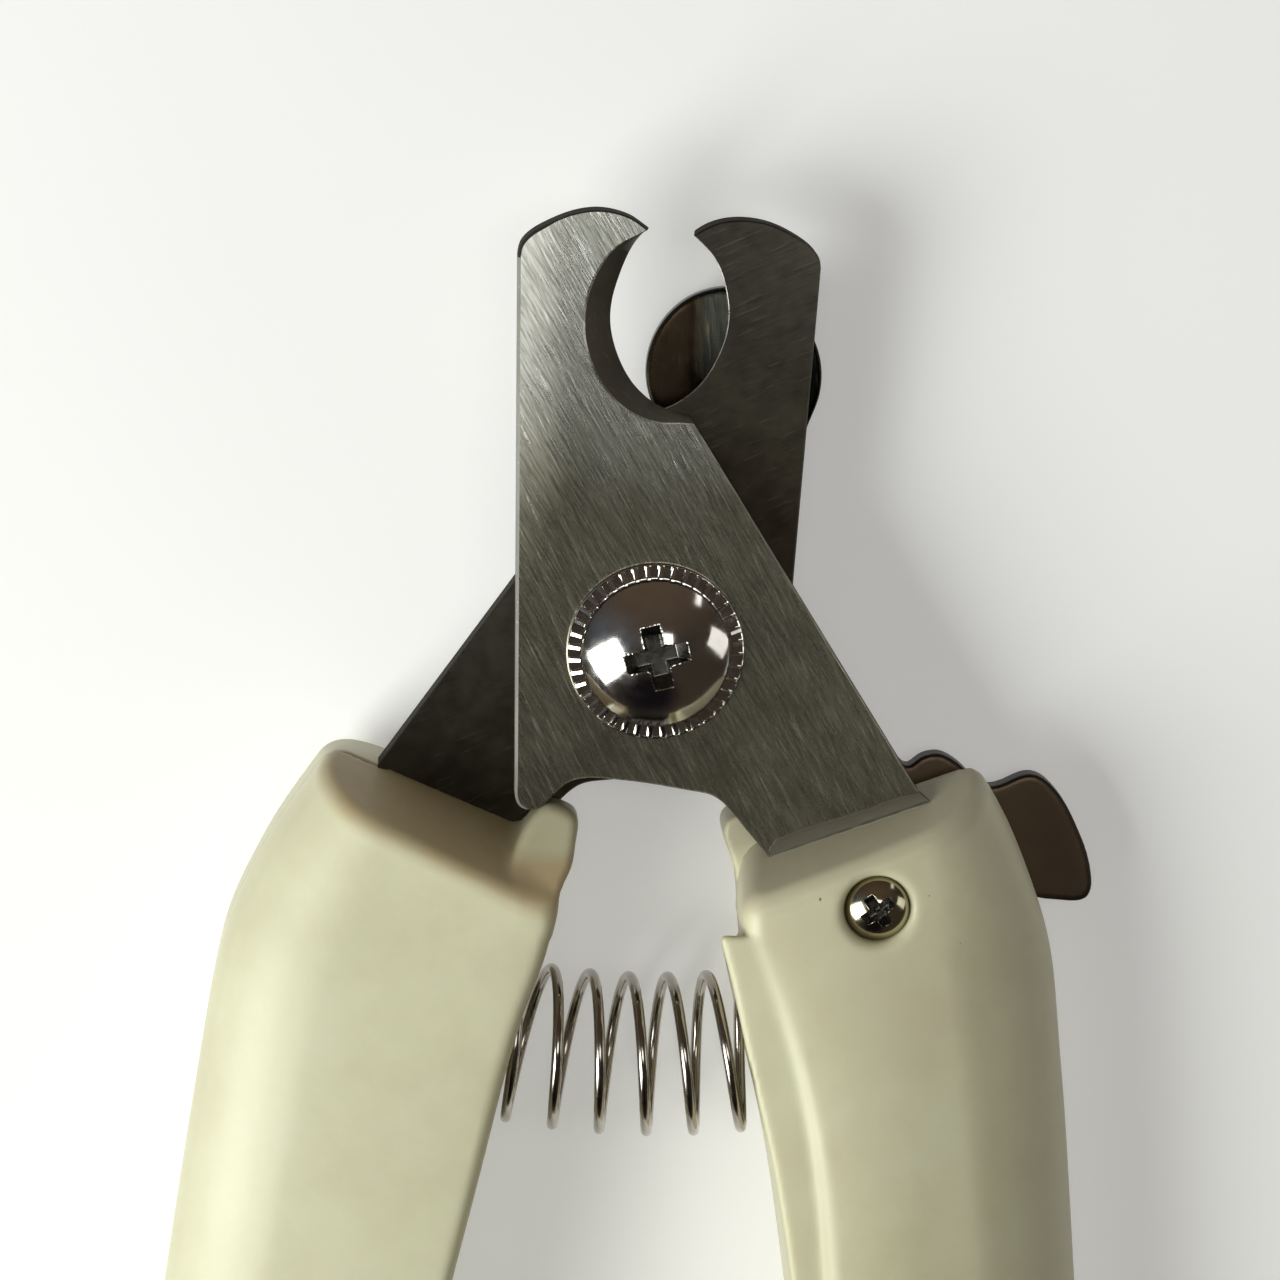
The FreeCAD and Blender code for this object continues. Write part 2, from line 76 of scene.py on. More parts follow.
def add(nt, kind, **props):
    n = nt.nodes.new(kind)
    for k, v in props.items():
        setattr(n, k, v)
    return n


def coords(nt, scale=(1, 1, 1), rot=(0, 0, 0), loc=(0, 0, 0)):
    """Object coordinates, turned by rot and drawn out by scale along the turned axes."""
    tc = add(nt, "ShaderNodeTexCoord")
    mp = add(nt, "ShaderNodeMapping")
    mp.vector_type = "TEXTURE"
    mp.inputs["Location"].default_value = loc
    mp.inputs["Rotation"].default_value = rot
    mp.inputs["Scale"].default_value = scale
    nt.links.new(tc.outputs["Object"], mp.inputs["Vector"])
    return mp.outputs[0]


def noise(nt, vec, scale, detail=3.0, rough=0.55, distortion=0.0):
    n = add(nt, "ShaderNodeTexNoise")
    n.inputs["Scale"].default_value = scale
    n.inputs["Detail"].default_value = detail
    n.inputs["Roughness"].default_value = rough
    n.inputs["Distortion"].default_value = distortion
    nt.links.new(vec, n.inputs["Vector"])
    return n.outputs["Fac"]


def ramp(nt, fac, stops, interp="LINEAR"):
    r = add(nt, "ShaderNodeValToRGB")
    r.color_ramp.interpolation = interp
    e = r.color_ramp.elements
    while len(e) < len(stops):
        e.new(0.5)
    for i, (p, c) in enumerate(stops):
        e[i].position = p
        e[i].color = (c[0], c[1], c[2], 1.0) if len(c) == 3 else c
    nt.links.new(fac, r.inputs[0])
    return r.outputs["Color"]


def maprange(nt, fac, a, b, c, d, clamp=True):
    m = add(nt, "ShaderNodeMapRange")
    m.clamp = clamp
    m.inputs["From Min"].default_value = a
    m.inputs["From Max"].default_value = b
    m.inputs["To Min"].default_value = c
    m.inputs["To Max"].default_value = d
    nt.links.new(fac, m.inputs["Value"])
    return m.outputs["Result"]


def math_node(nt, op, a, b=None, clamp=False):
    m = add(nt, "ShaderNodeMath", operation=op)
    m.use_clamp = clamp
    for i, v in enumerate((a, b)):
        if v is None:
            continue
        if isinstance(v, (int, float)):
            m.inputs[i].default_value = v
        else:
            nt.links.new(v, m.inputs[i])
    return m.outputs[0]


def mixc(nt, fac, a, b, blend="MIX"):
    m = add(nt, "ShaderNodeMix", data_type="RGBA", blend_type=blend)
    for sock, v in ((m.inputs[0], fac), (m.inputs[6], a), (m.inputs[7], b)):
        if isinstance(v, (int, float)):
            sock.default_value = v
        elif isinstance(v, tuple):
            sock.default_value = (v[0], v[1], v[2], 1.0)
        else:
            nt.links.new(v, sock)
    return m.outputs[2]


def bump(nt, bsdf, height, strength, dist, prev=None):
    b = add(nt, "ShaderNodeBump")
    b.inputs["Strength"].default_value = strength
    b.inputs["Distance"].default_value = dist
    nt.links.new(height, b.inputs["Height"])
    if prev is not None:
        nt.links.new(prev, b.inputs["Normal"])
    nt.links.new(b.outputs[0], bsdf.inputs["Normal"])
    return b.outputs[0]


def brushed_steel(name, dark, light, angle, rough=(0.22, 0.34), grain=0.60, blotch=0.24, painted_low_shade=0.45):
    """Ground steel: fine scratches at an angle from +Y, faint stains between them."""
    m, nt, b = new_mat(name)
    rot = (0, 0, angle)
    fine = noise(nt, coords(nt, scale=(1, 14, 1), rot=rot), 7600, 2.0, 0.6)
    mid = noise(nt, coords(nt, scale=(1, 18, 1), rot=(0, 0, angle + 0.05), loc=(0.3, 0.1, 0)), 5200, 3.0, 0.62, 0.1)
    deep = noise(nt, coords(nt, scale=(1, 26, 1), rot=(0, 0, angle - 0.05), loc=(0.7, 0.4, 0)), 6200, 1.0, 0.4)
    big = noise(nt, coords(nt, scale=(1, 1.6, 1), rot=rot), 420, 5.0, 0.62)
    huge = noise(nt, coords(nt, loc=(0.21, 0.4, 0.1)), 90, 3.0, 0.55)
    sc = maprange(nt, math_node(nt, "ADD", math_node(nt, "MULTIPLY", fine, 0.45), math_node(nt, "MULTIPLY", mid, 0.55)),
                  0.39, 0.62, 0.0, 1.0)
    bl = maprange(nt, math_node(nt, "ADD", math_node(nt, "MULTIPLY", big, 0.55), math_node(nt, "MULTIPLY", huge, 0.45)),
                  0.36, 0.64, 0.0, 1.0)
    tone = math_node(nt, "ADD", math_node(nt, "MULTIPLY", sc, grain), math_node(nt, "MULTIPLY", bl, blotch))
    tone = math_node(nt, "ADD", tone, (1.0 - grain - blotch) * 0.5, clamp=True)
    # painted shade: the blade darker and a little browner below the jaw, where it catches less light
    tc = add(nt, "ShaderNodeTexCoord")
    sep = add(nt, "ShaderNodeSeparateXYZ")
    nt.links.new(tc.outputs["Object"], sep.inputs[0])
    yy = math_node(nt, "ADD", sep.outputs[1], math_node(nt, "MULTIPLY", math_node(nt, "SUBTRACT", bl, 0.5), 0.004))
    painted_shade_grade = maprange(nt, yy, float(PIV[1]) + 0.0095, float(PIV[1]) + 0.0200, painted_low_shade, 1.0)
    col = mixc(nt, tone, dark, light)
    lines = maprange(nt, deep, 0.66, 0.75, 0.0, 0.6)
    col = mixc(nt, lines, col, tuple(min(1.0, c * 1.25) for c in light))
    shade = add(nt, "ShaderNodeCombineColor")
    for i, warm in enumerate((0.0, 0.03, 0.16)):
        nt.links.new(math_node(nt, "SUBTRACT", painted_shade_grade, math_node(nt, "MULTIPLY", math_node(nt, "SUBTRACT", 1.0, painted_shade_grade), warm)), shade.inputs[i])
    col = mixc(nt, 1.0, col, shade.outputs[0], "MULTIPLY")
    # painted highlight along the back of the jaw, a little darker just inside it, and paler again towards the handle
    xw = math_node(nt, "ADD", sep.outputs[0], math_node(nt, "MULTIPLY", math_node(nt, "SUBTRACT", bl, 0.5), 0.0016))
    upper = maprange(nt, sep.outputs[1], float(PIV[1]) + 0.0035, float(PIV[1]) + 0.0115, 0.0, 1.0)
    back_highlight = math_node(nt, "MULTIPLY", maprange(nt, xw, float(PIV[0]) - 0.0101, float(PIV[0]) - 0.0074, 1.0, 0.0), upper)
    fade = math_node(nt, "MULTIPLY", maprange(nt, xw, float(PIV[0]) - 0.0085, float(PIV[0]) - 0.0066, 0.0, 1.0), upper)
    diag = math_node(nt, "SUBTRACT", sep.outputs[0], sep.outputs[1])
    worn = maprange(nt, diag, float(PIV[0] - PIV[1]) + 0.006, float(PIV[0] - PIV[1]) + 0.016, 0.0, 1.0)
    f = math_node(nt, "SUBTRACT", math_node(nt, "ADD", 1.0 * 0.96, math_node(nt, "MULTIPLY", back_highlight, 0.60)), math_node(nt, "MULTIPLY", fade, 0.17))
    f = math_node(nt, "ADD", f, math_node(nt, "MULTIPLY", worn, 0.34))
    grey = add(nt, "ShaderNodeCombineColor")
    for i in range(3):
        nt.links.new(f, grey.inputs[i])
    mul = add(nt, "ShaderNodeMix", data_type="RGBA", blend_type="MULTIPLY")
    mul.clamp_result = True
    mul.inputs[0].default_value = 1.0
    nt.links.new(col, mul.inputs[6])
    nt.links.new(grey.outputs[0], mul.inputs[7])
    nt.links.new(mul.outputs[2], b.inputs["Base Color"])
    b.inputs["Metallic"].default_value = 1.0
    r = maprange(nt, math_node(nt, "ADD", math_node(nt, "MULTIPLY", mid, 0.6), math_node(nt, "MULTIPLY", big, 0.4)),
                 0.36, 0.64, rough[1], rough[0])
    r = math_node(nt, "ADD", r, math_node(nt, "SUBTRACT", math_node(nt, "MULTIPLY", back_highlight, 0.065), math_node(nt, "MULTIPLY", fade, 0.012)))
    nt.links.new(r, b.inputs["Roughness"])
    n1 = bump(nt, b, fine, 0.30, 0.00003)
    n2 = bump(nt, b, mid, 0.34, 0.00005, n1)
    bump(nt, b, lines, 0.25, 0.00004, n2)
    return m


def steepness(nt, a, b):
    """0 where the surface lies flatter than a, 1 where it is steeper than b (sizes of the normal's z part)."""
    g = add(nt, "ShaderNodeNewGeometry")
    sep = add(nt, "ShaderNodeSeparateXYZ")
    nt.links.new(g.outputs["Normal"], sep.inputs[0])
    return maprange(nt, math_node(nt, "ABSOLUTE", sep.outputs[2]), a, b, 0.0, 1.0)


def polished(name, color, rough=0.08, wobble=0.0, wobble_scale=400, steep=None, painted_foot_shade=None):
    m, nt, b = new_mat(name)
    n = noise(nt, coords(nt), 260, 3.0, 0.6)
    col = mixc(nt, maprange(nt, n, 0.35, 0.65, 0.0, 1.0), tuple(c * 0.86 for c in color), color)
    if steep:
        # painted shade low on the steep flanks, dimming their reflection
        col = mixc(nt, steepness(nt, steep[1], steep[2]), col, steep[0])
    if painted_foot_shade:
        # painted shade low on the crown, on the side of the handles, dimming their reflection there
        tc = add(nt, "ShaderNodeTexCoord")
        sep = add(nt, "ShaderNodeSeparateXYZ")
        nt.links.new(tc.outputs["Object"], sep.inputs[0])
        off = math_node(nt, "ABSOLUTE", math_node(nt, "ADD", sep.outputs[0], 0.0006 - float(PIV[0])))
        k = math_node(nt, "MULTIPLY", maprange(nt, sep.outputs[1], float(PIV[1]) - 0.0041, float(PIV[1]) - 0.0045, 0.0, 1.0),
                      maprange(nt, off, 0.0013, 0.0021, 1.0, 0.0))
        col = mixc(nt, k, col, painted_foot_shade)
    nt.links.new(col, b.inputs["Base Color"])
    b.inputs["Metallic"].default_value = 1.0
    r = maprange(nt, noise(nt, coords(nt, loc=(0.2, 0, 0)), 900, 4.0, 0.6), 0.3, 0.7, rough * 0.7, rough * 1.5)
    nt.links.new(r, b.inputs["Roughness"])
    h = noise(nt, coords(nt, loc=(0.5, 0.2, 0)), wobble_scale, 2.0, 0.5)
    bump(nt, b, h, max(wobble, 0.02), 0.00012)
    return m


def cream_plastic(name, seed=0.0, tint=(1.0, 1.0, 1.0), marks=(), brown=None, side=1, blush=0.3, flank=None, across=None):
    m, nt, b = new_mat(name)
    a = noise(nt, coords(nt, loc=(seed, 0.2, 0.1)), 38, 4.0, 0.55)
    c = noise(nt, coords(nt, loc=(0.4, seed, 0.3)), 210, 4.0, 0.6)
    g = noise(nt, coords(nt, loc=(0.1, 0.3, seed)), 2600, 2.0, 0.5)
    t1 = math_node(nt, "ADD", math_node(nt, "MULTIPLY", a, 0.65), math_node(nt, "MULTIPLY", c, 0.35))
    col = ramp(nt, t1, [(0.32, (0.640 * tint[0], 0.615 * tint[1], 0.420 * tint[2])),
                        (0.50, (0.705 * tint[0], 0.690 * tint[1], 0.490 * tint[2])),
                        (0.68, (0.735 * tint[0], 0.735 * tint[1], 0.545 * tint[2]))])
    # sparse dark specks in the moulding
    v = add(nt, "ShaderNodeTexVoronoi", feature="F1")
    v.inputs["Scale"].default_value = 190
    v.inputs["Randomness"].default_value = 1.0
    nt.links.new(coords(nt, loc=(seed, seed, 0)), v.inputs["Vector"])
    near = maprange(nt, v.outputs["Distance"], 0.014, 0.030, 1.0, 0.0)
    pick = add(nt, "ShaderNodeSeparateColor")
    nt.links.new(v.outputs["Color"], pick.inputs[0])
    some = maprange(nt, pick.outputs[0], 0.80, 0.82, 0.0, 1.0)
    speck = math_node(nt, "MULTIPLY", near, some)
    speck = math_node(nt, "MULTIPLY", speck, 0.65)
    for (px, py), pr in marks:
        vs = add(nt, "ShaderNodeVectorMath", operation="SUBTRACT")
        tc = add(nt, "ShaderNodeTexCoord")
        nt.links.new(tc.outputs["Object"], vs.inputs[0])
        q = row((px, py, 7.0))
        vs.inputs[1].default_value = (float(q[0]), float(q[1]), float(q[2]))
        fl = add(nt, "ShaderNodeVectorMath", operation="MULTIPLY")
        nt.links.new(vs.outputs[0], fl.inputs[0])
        fl.inputs[1].default_value = (1.0, 0.7, 0.05)
        ln = add(nt, "ShaderNodeVectorMath", operation="LENGTH")
        nt.links.new(fl.outputs[0], ln.inputs[0])
        speck = math_node(nt, "MAXIMUM", speck, maprange(nt, ln.outputs["Value"], pr * 0.001, pr * 0.0016, 0.9, 0.0))
    # faint pinkish-brown handling marks
    warm = noise(nt, coords(nt, loc=(seed + 0.6, 0.1, 0.5)), 70, 3.0, 0.5)
    col = mixc(nt, maprange(nt, warm, 0.50, 0.72, 0.0, blush), col, (0.62 * tint[0], 0.545 * tint[1], 0.395 * tint[2]))
    if brown:
        # painted shade, brown, on the sloping end that meets the blade and faces away from the light: distance from the
        # plane of that end
        tc = add(nt, "ShaderNodeTexCoord")
        away = add(nt, "ShaderNodeVectorMath", operation="SUBTRACT")
        nt.links.new(tc.outputs["Object"], away.inputs[0])
        away.inputs[1].default_value = tuple(float(q) for q in row((side * 8.35, -13.62, 0.0)))
        dist = add(nt, "ShaderNodeVectorMath", operation="DOT_PRODUCT")
        nt.links.new(away.outputs[0], dist.inputs[0])
        sl = 0.42 * 0.930
        k = math.sqrt(1 + sl * sl)
        dist.inputs[1].default_value = (side * -0.3676 / k, 0.930 / k, sl / k)
        d = math_node(nt, "ADD", dist.outputs["Value"], math_node(nt, "MULTIPLY", math_node(nt, "SUBTRACT", c, 0.5), 0.0014))
        sep = add(nt, "ShaderNodeSeparateXYZ")
        nt.links.new(tc.outputs["Object"], sep.inputs[0])
        # painted shade: darker still close to the blade
        low = maprange(nt, sep.outputs[2], float(PIV[2]) + 0.0025, float(PIV[2]) + 0.0068, 0.0, 1.0)
        shade = mixc(nt, low, tuple(q * 0.80 for q in brown[1]), brown[1])
        on = maprange(nt, d, -0.0013, 0.0001, 0.0, brown[0])
        if side < 0:
            # less painted shade on the stop beside the blade
            stop = math_node(nt, "MULTIPLY", maprange(nt, sep.outputs[0], float(PIV[0]) - 0.0097, float(PIV[0]) - 0.0086, 0.0, 0.85),
                             maprange(nt, sep.outputs[1], float(PIV[1]) - 0.0151, float(PIV[1]) - 0.0140, 0.0, 1.0))
            on = math_node(nt, "MULTIPLY", on, math_node(nt, "SUBTRACT", 1.0, stop))
        col = mixc(nt, on, col, shade)
    if flank:
        # painted shade: the steeper flanks a little darker and yellower than the faces
        col = mixc(nt, steepness(nt, flank[1], flank[2]), col, mixc(nt, 1.0, col, (flank[0], flank[0] * 0.995, flank[0] * 0.985), "MULTIPLY"))
    # painted light and shade: a lightness ramp across x, on the right handle lighter at the inner edge and darker at
    # the outer
    if across:
        tc = add(nt, "ShaderNodeTexCoord")
        sep = add(nt, "ShaderNodeSeparateXYZ")
        nt.links.new(tc.outputs["Object"], sep.inputs[0])
        w = maprange(nt, sep.outputs[0], float(PIV[0]) + across[0] * 0.001, float(PIV[0]) + across[1] * 0.001, 0.0, 1.0)
        col = mixc(nt, 1.0, col, mixc(nt, w, (across[2],) * 3, (across[3],) * 3), "MULTIPLY")
    col = mixc(nt, speck, col, (0.16, 0.13, 0.085))
    nt.links.new(col, b.inputs["Base Color"])
    r = maprange(nt, c, 0.3, 0.7, 0.38, 0.50)
    nt.links.new(r, b.inputs["Roughness"])
    b.inputs["Specular IOR Level"].default_value = 0.45
    b.inputs["Subsurface Weight"].default_value = 0.12
    b.inputs["Subsurface Radius"].default_value = (0.0034, 0.0020, 0.0009)
    b.inputs["Subsurface Scale"].default_value = 0.6
    b.inputs["Coat Weight"].default_value = 0.10
    b.inputs["Coat Roughness"].default_value = 0.36
    peel = noise(nt, coords(nt, loc=(0.7, seed, 0.2)), 950, 2.0, 0.5)
    n1 = bump(nt, b, c, 0.10, 0.00035)
    n2 = bump(nt, b, peel, 0.12, 0.00010, n1)
    bump(nt, b, g, 0.05, 0.00004, n2)
    return m


def dark_steel(name, base, rough, mottled=0.4, scratch_angle=0.5, tab=None, low=None, head=None, metal=1.0, gloss=0.5, leg=None, rim=None):
    m, nt, b = new_mat(name)
    big = noise(nt, coords(nt), 150, 3.0, 0.5)
    sm = noise(nt, coords(nt, loc=(0.3, 0.5, 0.2)), 900, 2.0, 0.5)
    sc = noise(nt, coords(nt, scale=(1.0, 12.0, 1.0), rot=(0, 0, scratch_angle)), 4200, 2.0, 0.55)
    t = math_node(nt, "ADD", math_node(nt, "MULTIPLY", big, 0.7), math_node(nt, "MULTIPLY", sm, 0.3))
    t = maprange(nt, t, 0.28, 0.72, 0.0, 1.0)
    lo = tuple(c * (1.0 - mottled) for c in base)
    hi = tuple(min(1.0, c * (1.0 + mottled)) for c in base)
    col = mixc(nt, t, lo, hi)
    if low:
        # painted shade: the steel darker and browner below the jaw, under the front blade
        tc = add(nt, "ShaderNodeTexCoord")
        sep = add(nt, "ShaderNodeSeparateXYZ")
        nt.links.new(tc.outputs["Object"], sep.inputs[0])
        k = maprange(nt, math_node(nt, "ADD", sep.outputs[1], math_node(nt, "MULTIPLY", big, 0.008)),
                     float(PIV[1]) + 0.013, float(PIV[1]) + 0.028, 1.0, 0.0)
        col = mixc(nt, k, col, mixc(nt, t, tuple(c * (1 - mottled) for c in low), tuple(c * (1 + mottled) for c in low)))
    if leg:
        # greyer on the leg, up to where the front blade has rubbed it
        tc = add(nt, "ShaderNodeTexCoord")
        sep = add(nt, "ShaderNodeSeparateXYZ")
        nt.links.new(tc.outputs["Object"], sep.inputs[0])
        k = math_node(nt, "MULTIPLY", maprange(nt, sep.outputs[0], float(PIV[0]) - 0.0095, float(PIV[0]) - 0.0060, 1.0, 0.0),
                      maprange(nt, math_node(nt, "ADD", sep.outputs[1], math_node(nt, "MULTIPLY", big, 0.006)),
                               float(PIV[1]) - 0.0085, float(PIV[1]) + 0.0060, 0.0, 1.0))
        col = mixc(nt, k, col, mixc(nt, t, tuple(c * 0.8 for c in leg), leg))
    if head:
        # right half of the head is greyer, with dull vertical streaks; painted shade darkens it towards the bottom
        tc = add(nt, "ShaderNodeTexCoord")
        sep = add(nt, "ShaderNodeSeparateXYZ")
        nt.links.new(tc.outputs["Object"], sep.inputs[0])
        st = noise(nt, coords(nt, scale=(1, 6, 1), rot=(0, 0, 0.2)), 2600, 3.0, 0.6)
        k = math_node(nt, "MULTIPLY", maprange(nt, sep.outputs[0], float(PIV[0]) + 0.0019, float(PIV[0]) + 0.0029, 0.0, 1.0),
                      maprange(nt, sep.outputs[1], float(PIV[1]) + 0.0120, float(PIV[1]) + 0.0140, 0.0, 1.0))
        gr = mixc(nt, maprange(nt, math_node(nt, "ADD", math_node(nt, "MULTIPLY", st, 0.5), math_node(nt, "MULTIPLY", big, 0.5)),
                               0.38, 0.62, 0.0, 1.0), tuple(c * 0.55 for c in head), tuple(c * 1.35 for c in head))
        gr = mixc(nt, maprange(nt, sep.outputs[1], float(PIV[1]) + 0.0195, float(PIV[1]) + 0.0240, 0.0, 1.0), tuple(c * 0.22 for c in head), gr)
        col = mixc(nt, k, col, gr)
    col = mixc(nt, maprange(nt, sc, 0.62, 0.74, 0.0, 0.45), col, tuple(min(1.0, c * 2.1) for c in base))
    r = maprange(nt, sm, 0.3, 0.7, rough * 0.94, rough * 1.08)
    if tab:
        # the thumb end is duller and browner than the head
        tc = add(nt, "ShaderNodeTexCoord")
        sep = add(nt, "ShaderNodeSeparateXYZ")
        nt.links.new(tc.outputs["Object"], sep.inputs[0])
        k = maprange(nt, sep.outputs[1], float(PIV[1]) - 0.002, float(PIV[1]) + 0.010, 1.0, 0.0)
        col = mixc(nt, k, col, mixc(nt, t, tuple(c * 0.85 for c in tab), tab))
        r = math_node(nt, "ADD", r, math_node(nt, "MULTIPLY", k, 0.16))
    # painted shade: the steep rims darker, dimming their reflection
    if rim:
        col = mixc(nt, steepness(nt, 0.97, 0.80), col, rim)
    nt.links.new(col, b.inputs["Base Color"])
    b.inputs["Metallic"].default_value = metal
    b.inputs["Specular IOR Level"].default_value = gloss
    nt.links.new(r, b.inputs["Roughness"])
    n1 = bump(nt, b, sm, 0.06, 0.00006)
    bump(nt, b, sc, 0.12, 0.00004, n1)
    return m


BRUSH = math.radians(30.0)
MAT = {
    "front_blade": brushed_steel("blade_ground_steel", (0.225, 0.22, 0.195), (0.93, 0.93, 0.865), BRUSH),
    # the rear blade is set far darker than the front one: partly its duller, oxidised face, partly painted shade where
    # its scratches don't catch the light
    "rear_blade": dark_steel("blade_dark_and_shaded_steel", (0.064, 0.059, 0.047), 0.30, 0.34, -1.13, low=(0.052, 0.043, 0.030), leg=(0.118, 0.108, 0.090)),
    # painted shade: the notch bevel darker than the blade's faces, as it turns away from the light
    "bevel": dark_steel("blade_bevel_steel", (0.120, 0.106, 0.086), 0.52, 0.25, 0.9, metal=0.6, gloss=0.12),
    "sawn_side": dark_steel("blade_side_oxide", (0.036, 0.032, 0.027), 0.70, 0.25, 1.3, metal=0.0, gloss=0.04),
    "web": cream_plastic("cream_plastic_web", 0.52, (0.128, 0.114, 0.106), blush=0.8),
    "web_edge": cream_plastic("cream_plastic_web_edge", 0.71, (0.100, 0.088, 0.081), blush=0.8),
    "bright_edge": polished("honed_edge", (0.62, 0.60, 0.54), 0.30, 0.10, 900),
    "chrome": polished("polished_chrome", (0.82, 0.80, 0.77), 0.105, 0.05, 420),
    # the crown has a patch of painted shade low down
    "dome": polished("polished_chrome_crown", (0.82, 0.80, 0.77), 0.105, 0.05, 420, painted_foot_shade=(0.10, 0.09, 0.08)),
    # painted shade: a dark chrome on the dome's rim, hiding the bright ring it would reflect
    "dome_rim": polished("chrome_rim_painted_shade", (0.11, 0.10, 0.085), 0.26, 0.05, 420),
    # painted shade: a darker chrome inside the cross recesses
    "recess": polished("recess_chrome_painted_shade", (0.19, 0.18, 0.165), 0.24, 0.20, 1600),
    "cream_lip": cream_plastic("cream_plastic_lip", 0.21, (0.30, 0.305, 0.31)),
    "plain": polished("zinc_plated_steel", (0.55, 0.55, 0.53), 0.28, 0.10, 900),
    "guard": dark_steel("guard_dark_steel", (0.052, 0.037, 0.024), 0.26, 0.25, 0.1, tab=(0.150, 0.108, 0.074), head=(0.034, 0.036, 0.029), rim=(0.024, 0.021, 0.018)),
    # steep= paints shade on the flanks of the screw heads
    "screw": polished("warm_nickel", (0.70, 0.65, 0.49), 0.12, 0.05, 500, steep=((0.33, 0.30, 0.19), 0.88, 0.66)),
    # painted highlight: a pale unpolished grey on the back edge and back side of the front blade, standing in for their
    # bright line
    "edge_painted_highlight": dark_steel("back_edge_painted_highlight", (0.265, 0.262, 0.238), 0.50, 0.20, 1.3, metal=0.0, gloss=0.30),
    "side_painted_highlight": dark_steel("blade_side_painted_highlight", (0.200, 0.195, 0.168), 0.60, 0.20, 1.3, metal=0.0, gloss=0.10),
    "wire": polished("spring_wire_nickel", (0.46, 0.42, 0.38), 0.15, 0.05, 700),
    # brown= paints shade on the sloping end of each handle
    "cream_l": cream_plastic("cream_plastic_left", 0.0, brown=(0.90, (0.60, 0.467, 0.260)), side=-1, blush=0.2, flank=(0.83, 0.93, 0.50)),
    "cream_r": cream_plastic("cream_plastic_right", 0.37, (0.965, 0.945, 0.92),
                             marks=(((12.1, -16.4), 0.065), ((19.8, -16.0), 0.04), ((22.2, -19.4), 0.04)),
                             brown=(0.64, (0.48, 0.435, 0.325)), side=1, blush=0.50,
                             flank=(0.82, 0.72, 0.30), across=(10.0, 20.5, 1.08, 0.93)),
}

NODE_MAT = {
    "front_blade": "front_blade", "rear_blade": "rear_blade", "pivot_screw": "chrome", "serrated_washer": "chrome",
    "pivot_washer": "plain", "wave_washer": "plain", "lock_nut": "plain", "quick_guard": "guard",
    "right_handle_front_shell": "cream_r", "right_handle_rear_shell": "cream_r",
    "left_handle_front_shell": "cream_l", "left_handle_rear_shell": "cream_l",
    "right_handle_screws": "screw", "left_handle_screws": "screw", "return_spring": "wire",
}
for n, o in frame["nodes"].items():
    o.data.materials.clear()
    o.data.materials.append(MAT[NODE_MAT[n]])




# ================================================================ geometry kit
def smooth(pts, step=0.5):
    """Points along a natural cubic spline through pts (chord-length parameter)."""
    p = np.array(pts, float)
    n = len(p)
    t = np.r_[0, np.cumsum(np.linalg.norm(np.diff(p, axis=0), axis=1))]
    h = np.diff(t)
    A = np.zeros((n, n))
    B = np.zeros((n, p.shape[1]))
    A[0, 0] = A[-1, -1] = 1
    for i in range(1, n - 1):
        A[i, i - 1], A[i, i], A[i, i + 1] = h[i - 1], 2 * (h[i - 1] + h[i]), h[i]
        B[i] = 6 * ((p[i + 1] - p[i]) / h[i] - (p[i] - p[i - 1]) / h[i - 1])
    M = np.linalg.solve(A, B)
    out = []
    for i in range(n - 1):
        k = max(1, int(math.ceil(h[i] / step)))
        for u in np.arange(k) / k * h[i]:
            a = h[i] - u
            out.append((M[i] * a ** 3 + M[i + 1] * u ** 3) / (6 * h[i]) + (p[i] / h[i] - M[i] * h[i] / 6) * a
                       + (p[i + 1] / h[i] - M[i + 1] * h[i] / 6) * u)
    out.append(p[-1])
    return np.array(out)


def resample(chain, n):
    c = np.asarray(chain, float)
    t = np.r_[0, np.cumsum(np.linalg.norm(np.diff(c, axis=0), axis=1))]
    u = np.linspace(0, t[-1], n)
    return np.stack([np.interp(u, t, c[:, k]) for k in range(c.shape[1])], 1)


def chain_d(x, y, P):
    """Distance to an open chain of points."""
    d2 = np.full(np.broadcast(x, y).shape, 1e18)
    for (ax, ay), (bx, by) in zip(P[:-1], P[1:]):
        ex, ey = bx - ax, by - ay
        wx, wy = x - ax, y - ay
        t = np.clip((wx * ex + wy * ey) / (ex * ex + ey * ey + 1e-18), 0, 1)
        np.minimum(d2, (wx - t * ex) ** 2 + (wy - t * ey) ** 2, out=d2)
    return np.sqrt(d2)


def inside(x, y, P):
    c = np.zeros(np.broadcast(x, y).shape, bool)
    for (ax, ay), (bx, by) in zip(P, np.roll(P, -1, axis=0)):
        if ay == by:
            continue
        c ^= ((ay > y) != (by > y)) & (x < (bx - ax) * (y - ay) / (by - ay) + ax)
    return c


def poly_d(x, y, P):
    """Signed distance to a closed outline, negative inside."""
    Q = np.vstack([P, P[:1]])
    return np.where(inside(x, y, P), -1.0, 1.0) * chain_d(x, y, Q)


def rmax(a, b, r):
    """Both at once, with a round edge of radius r."""
    return np.minimum(np.maximum(a + r, b + r), 0) + np.hypot(np.maximum(a + r, 0), np.maximum(b + r, 0)) - r


def rmin(a, b, r):
    return -rmax(-a, -b, r)


def cut(a, b, r=0.0):
    """a without b."""
    return rmax(a, -b, r) if r > 0 else np.maximum(a, -b)


def sstep(x, a, b):
    t = np.clip((x - a) / (b - a), 0, 1)
    return t * t * (3 - 2 * t)


def axis_steps(*parts):
    """Axis samples: (start, step, start, step, ..., end)."""
    out = []
    for i in range(0, len(parts) - 1, 2):
        a, s, b = parts[i], parts[i + 1], parts[i + 2]
        n = max(1, int(round((b - a) / s)))
        out.append(np.linspace(a, b, n, endpoint=False))
    out.append([parts[-1]])
    return np.concatenate(out)


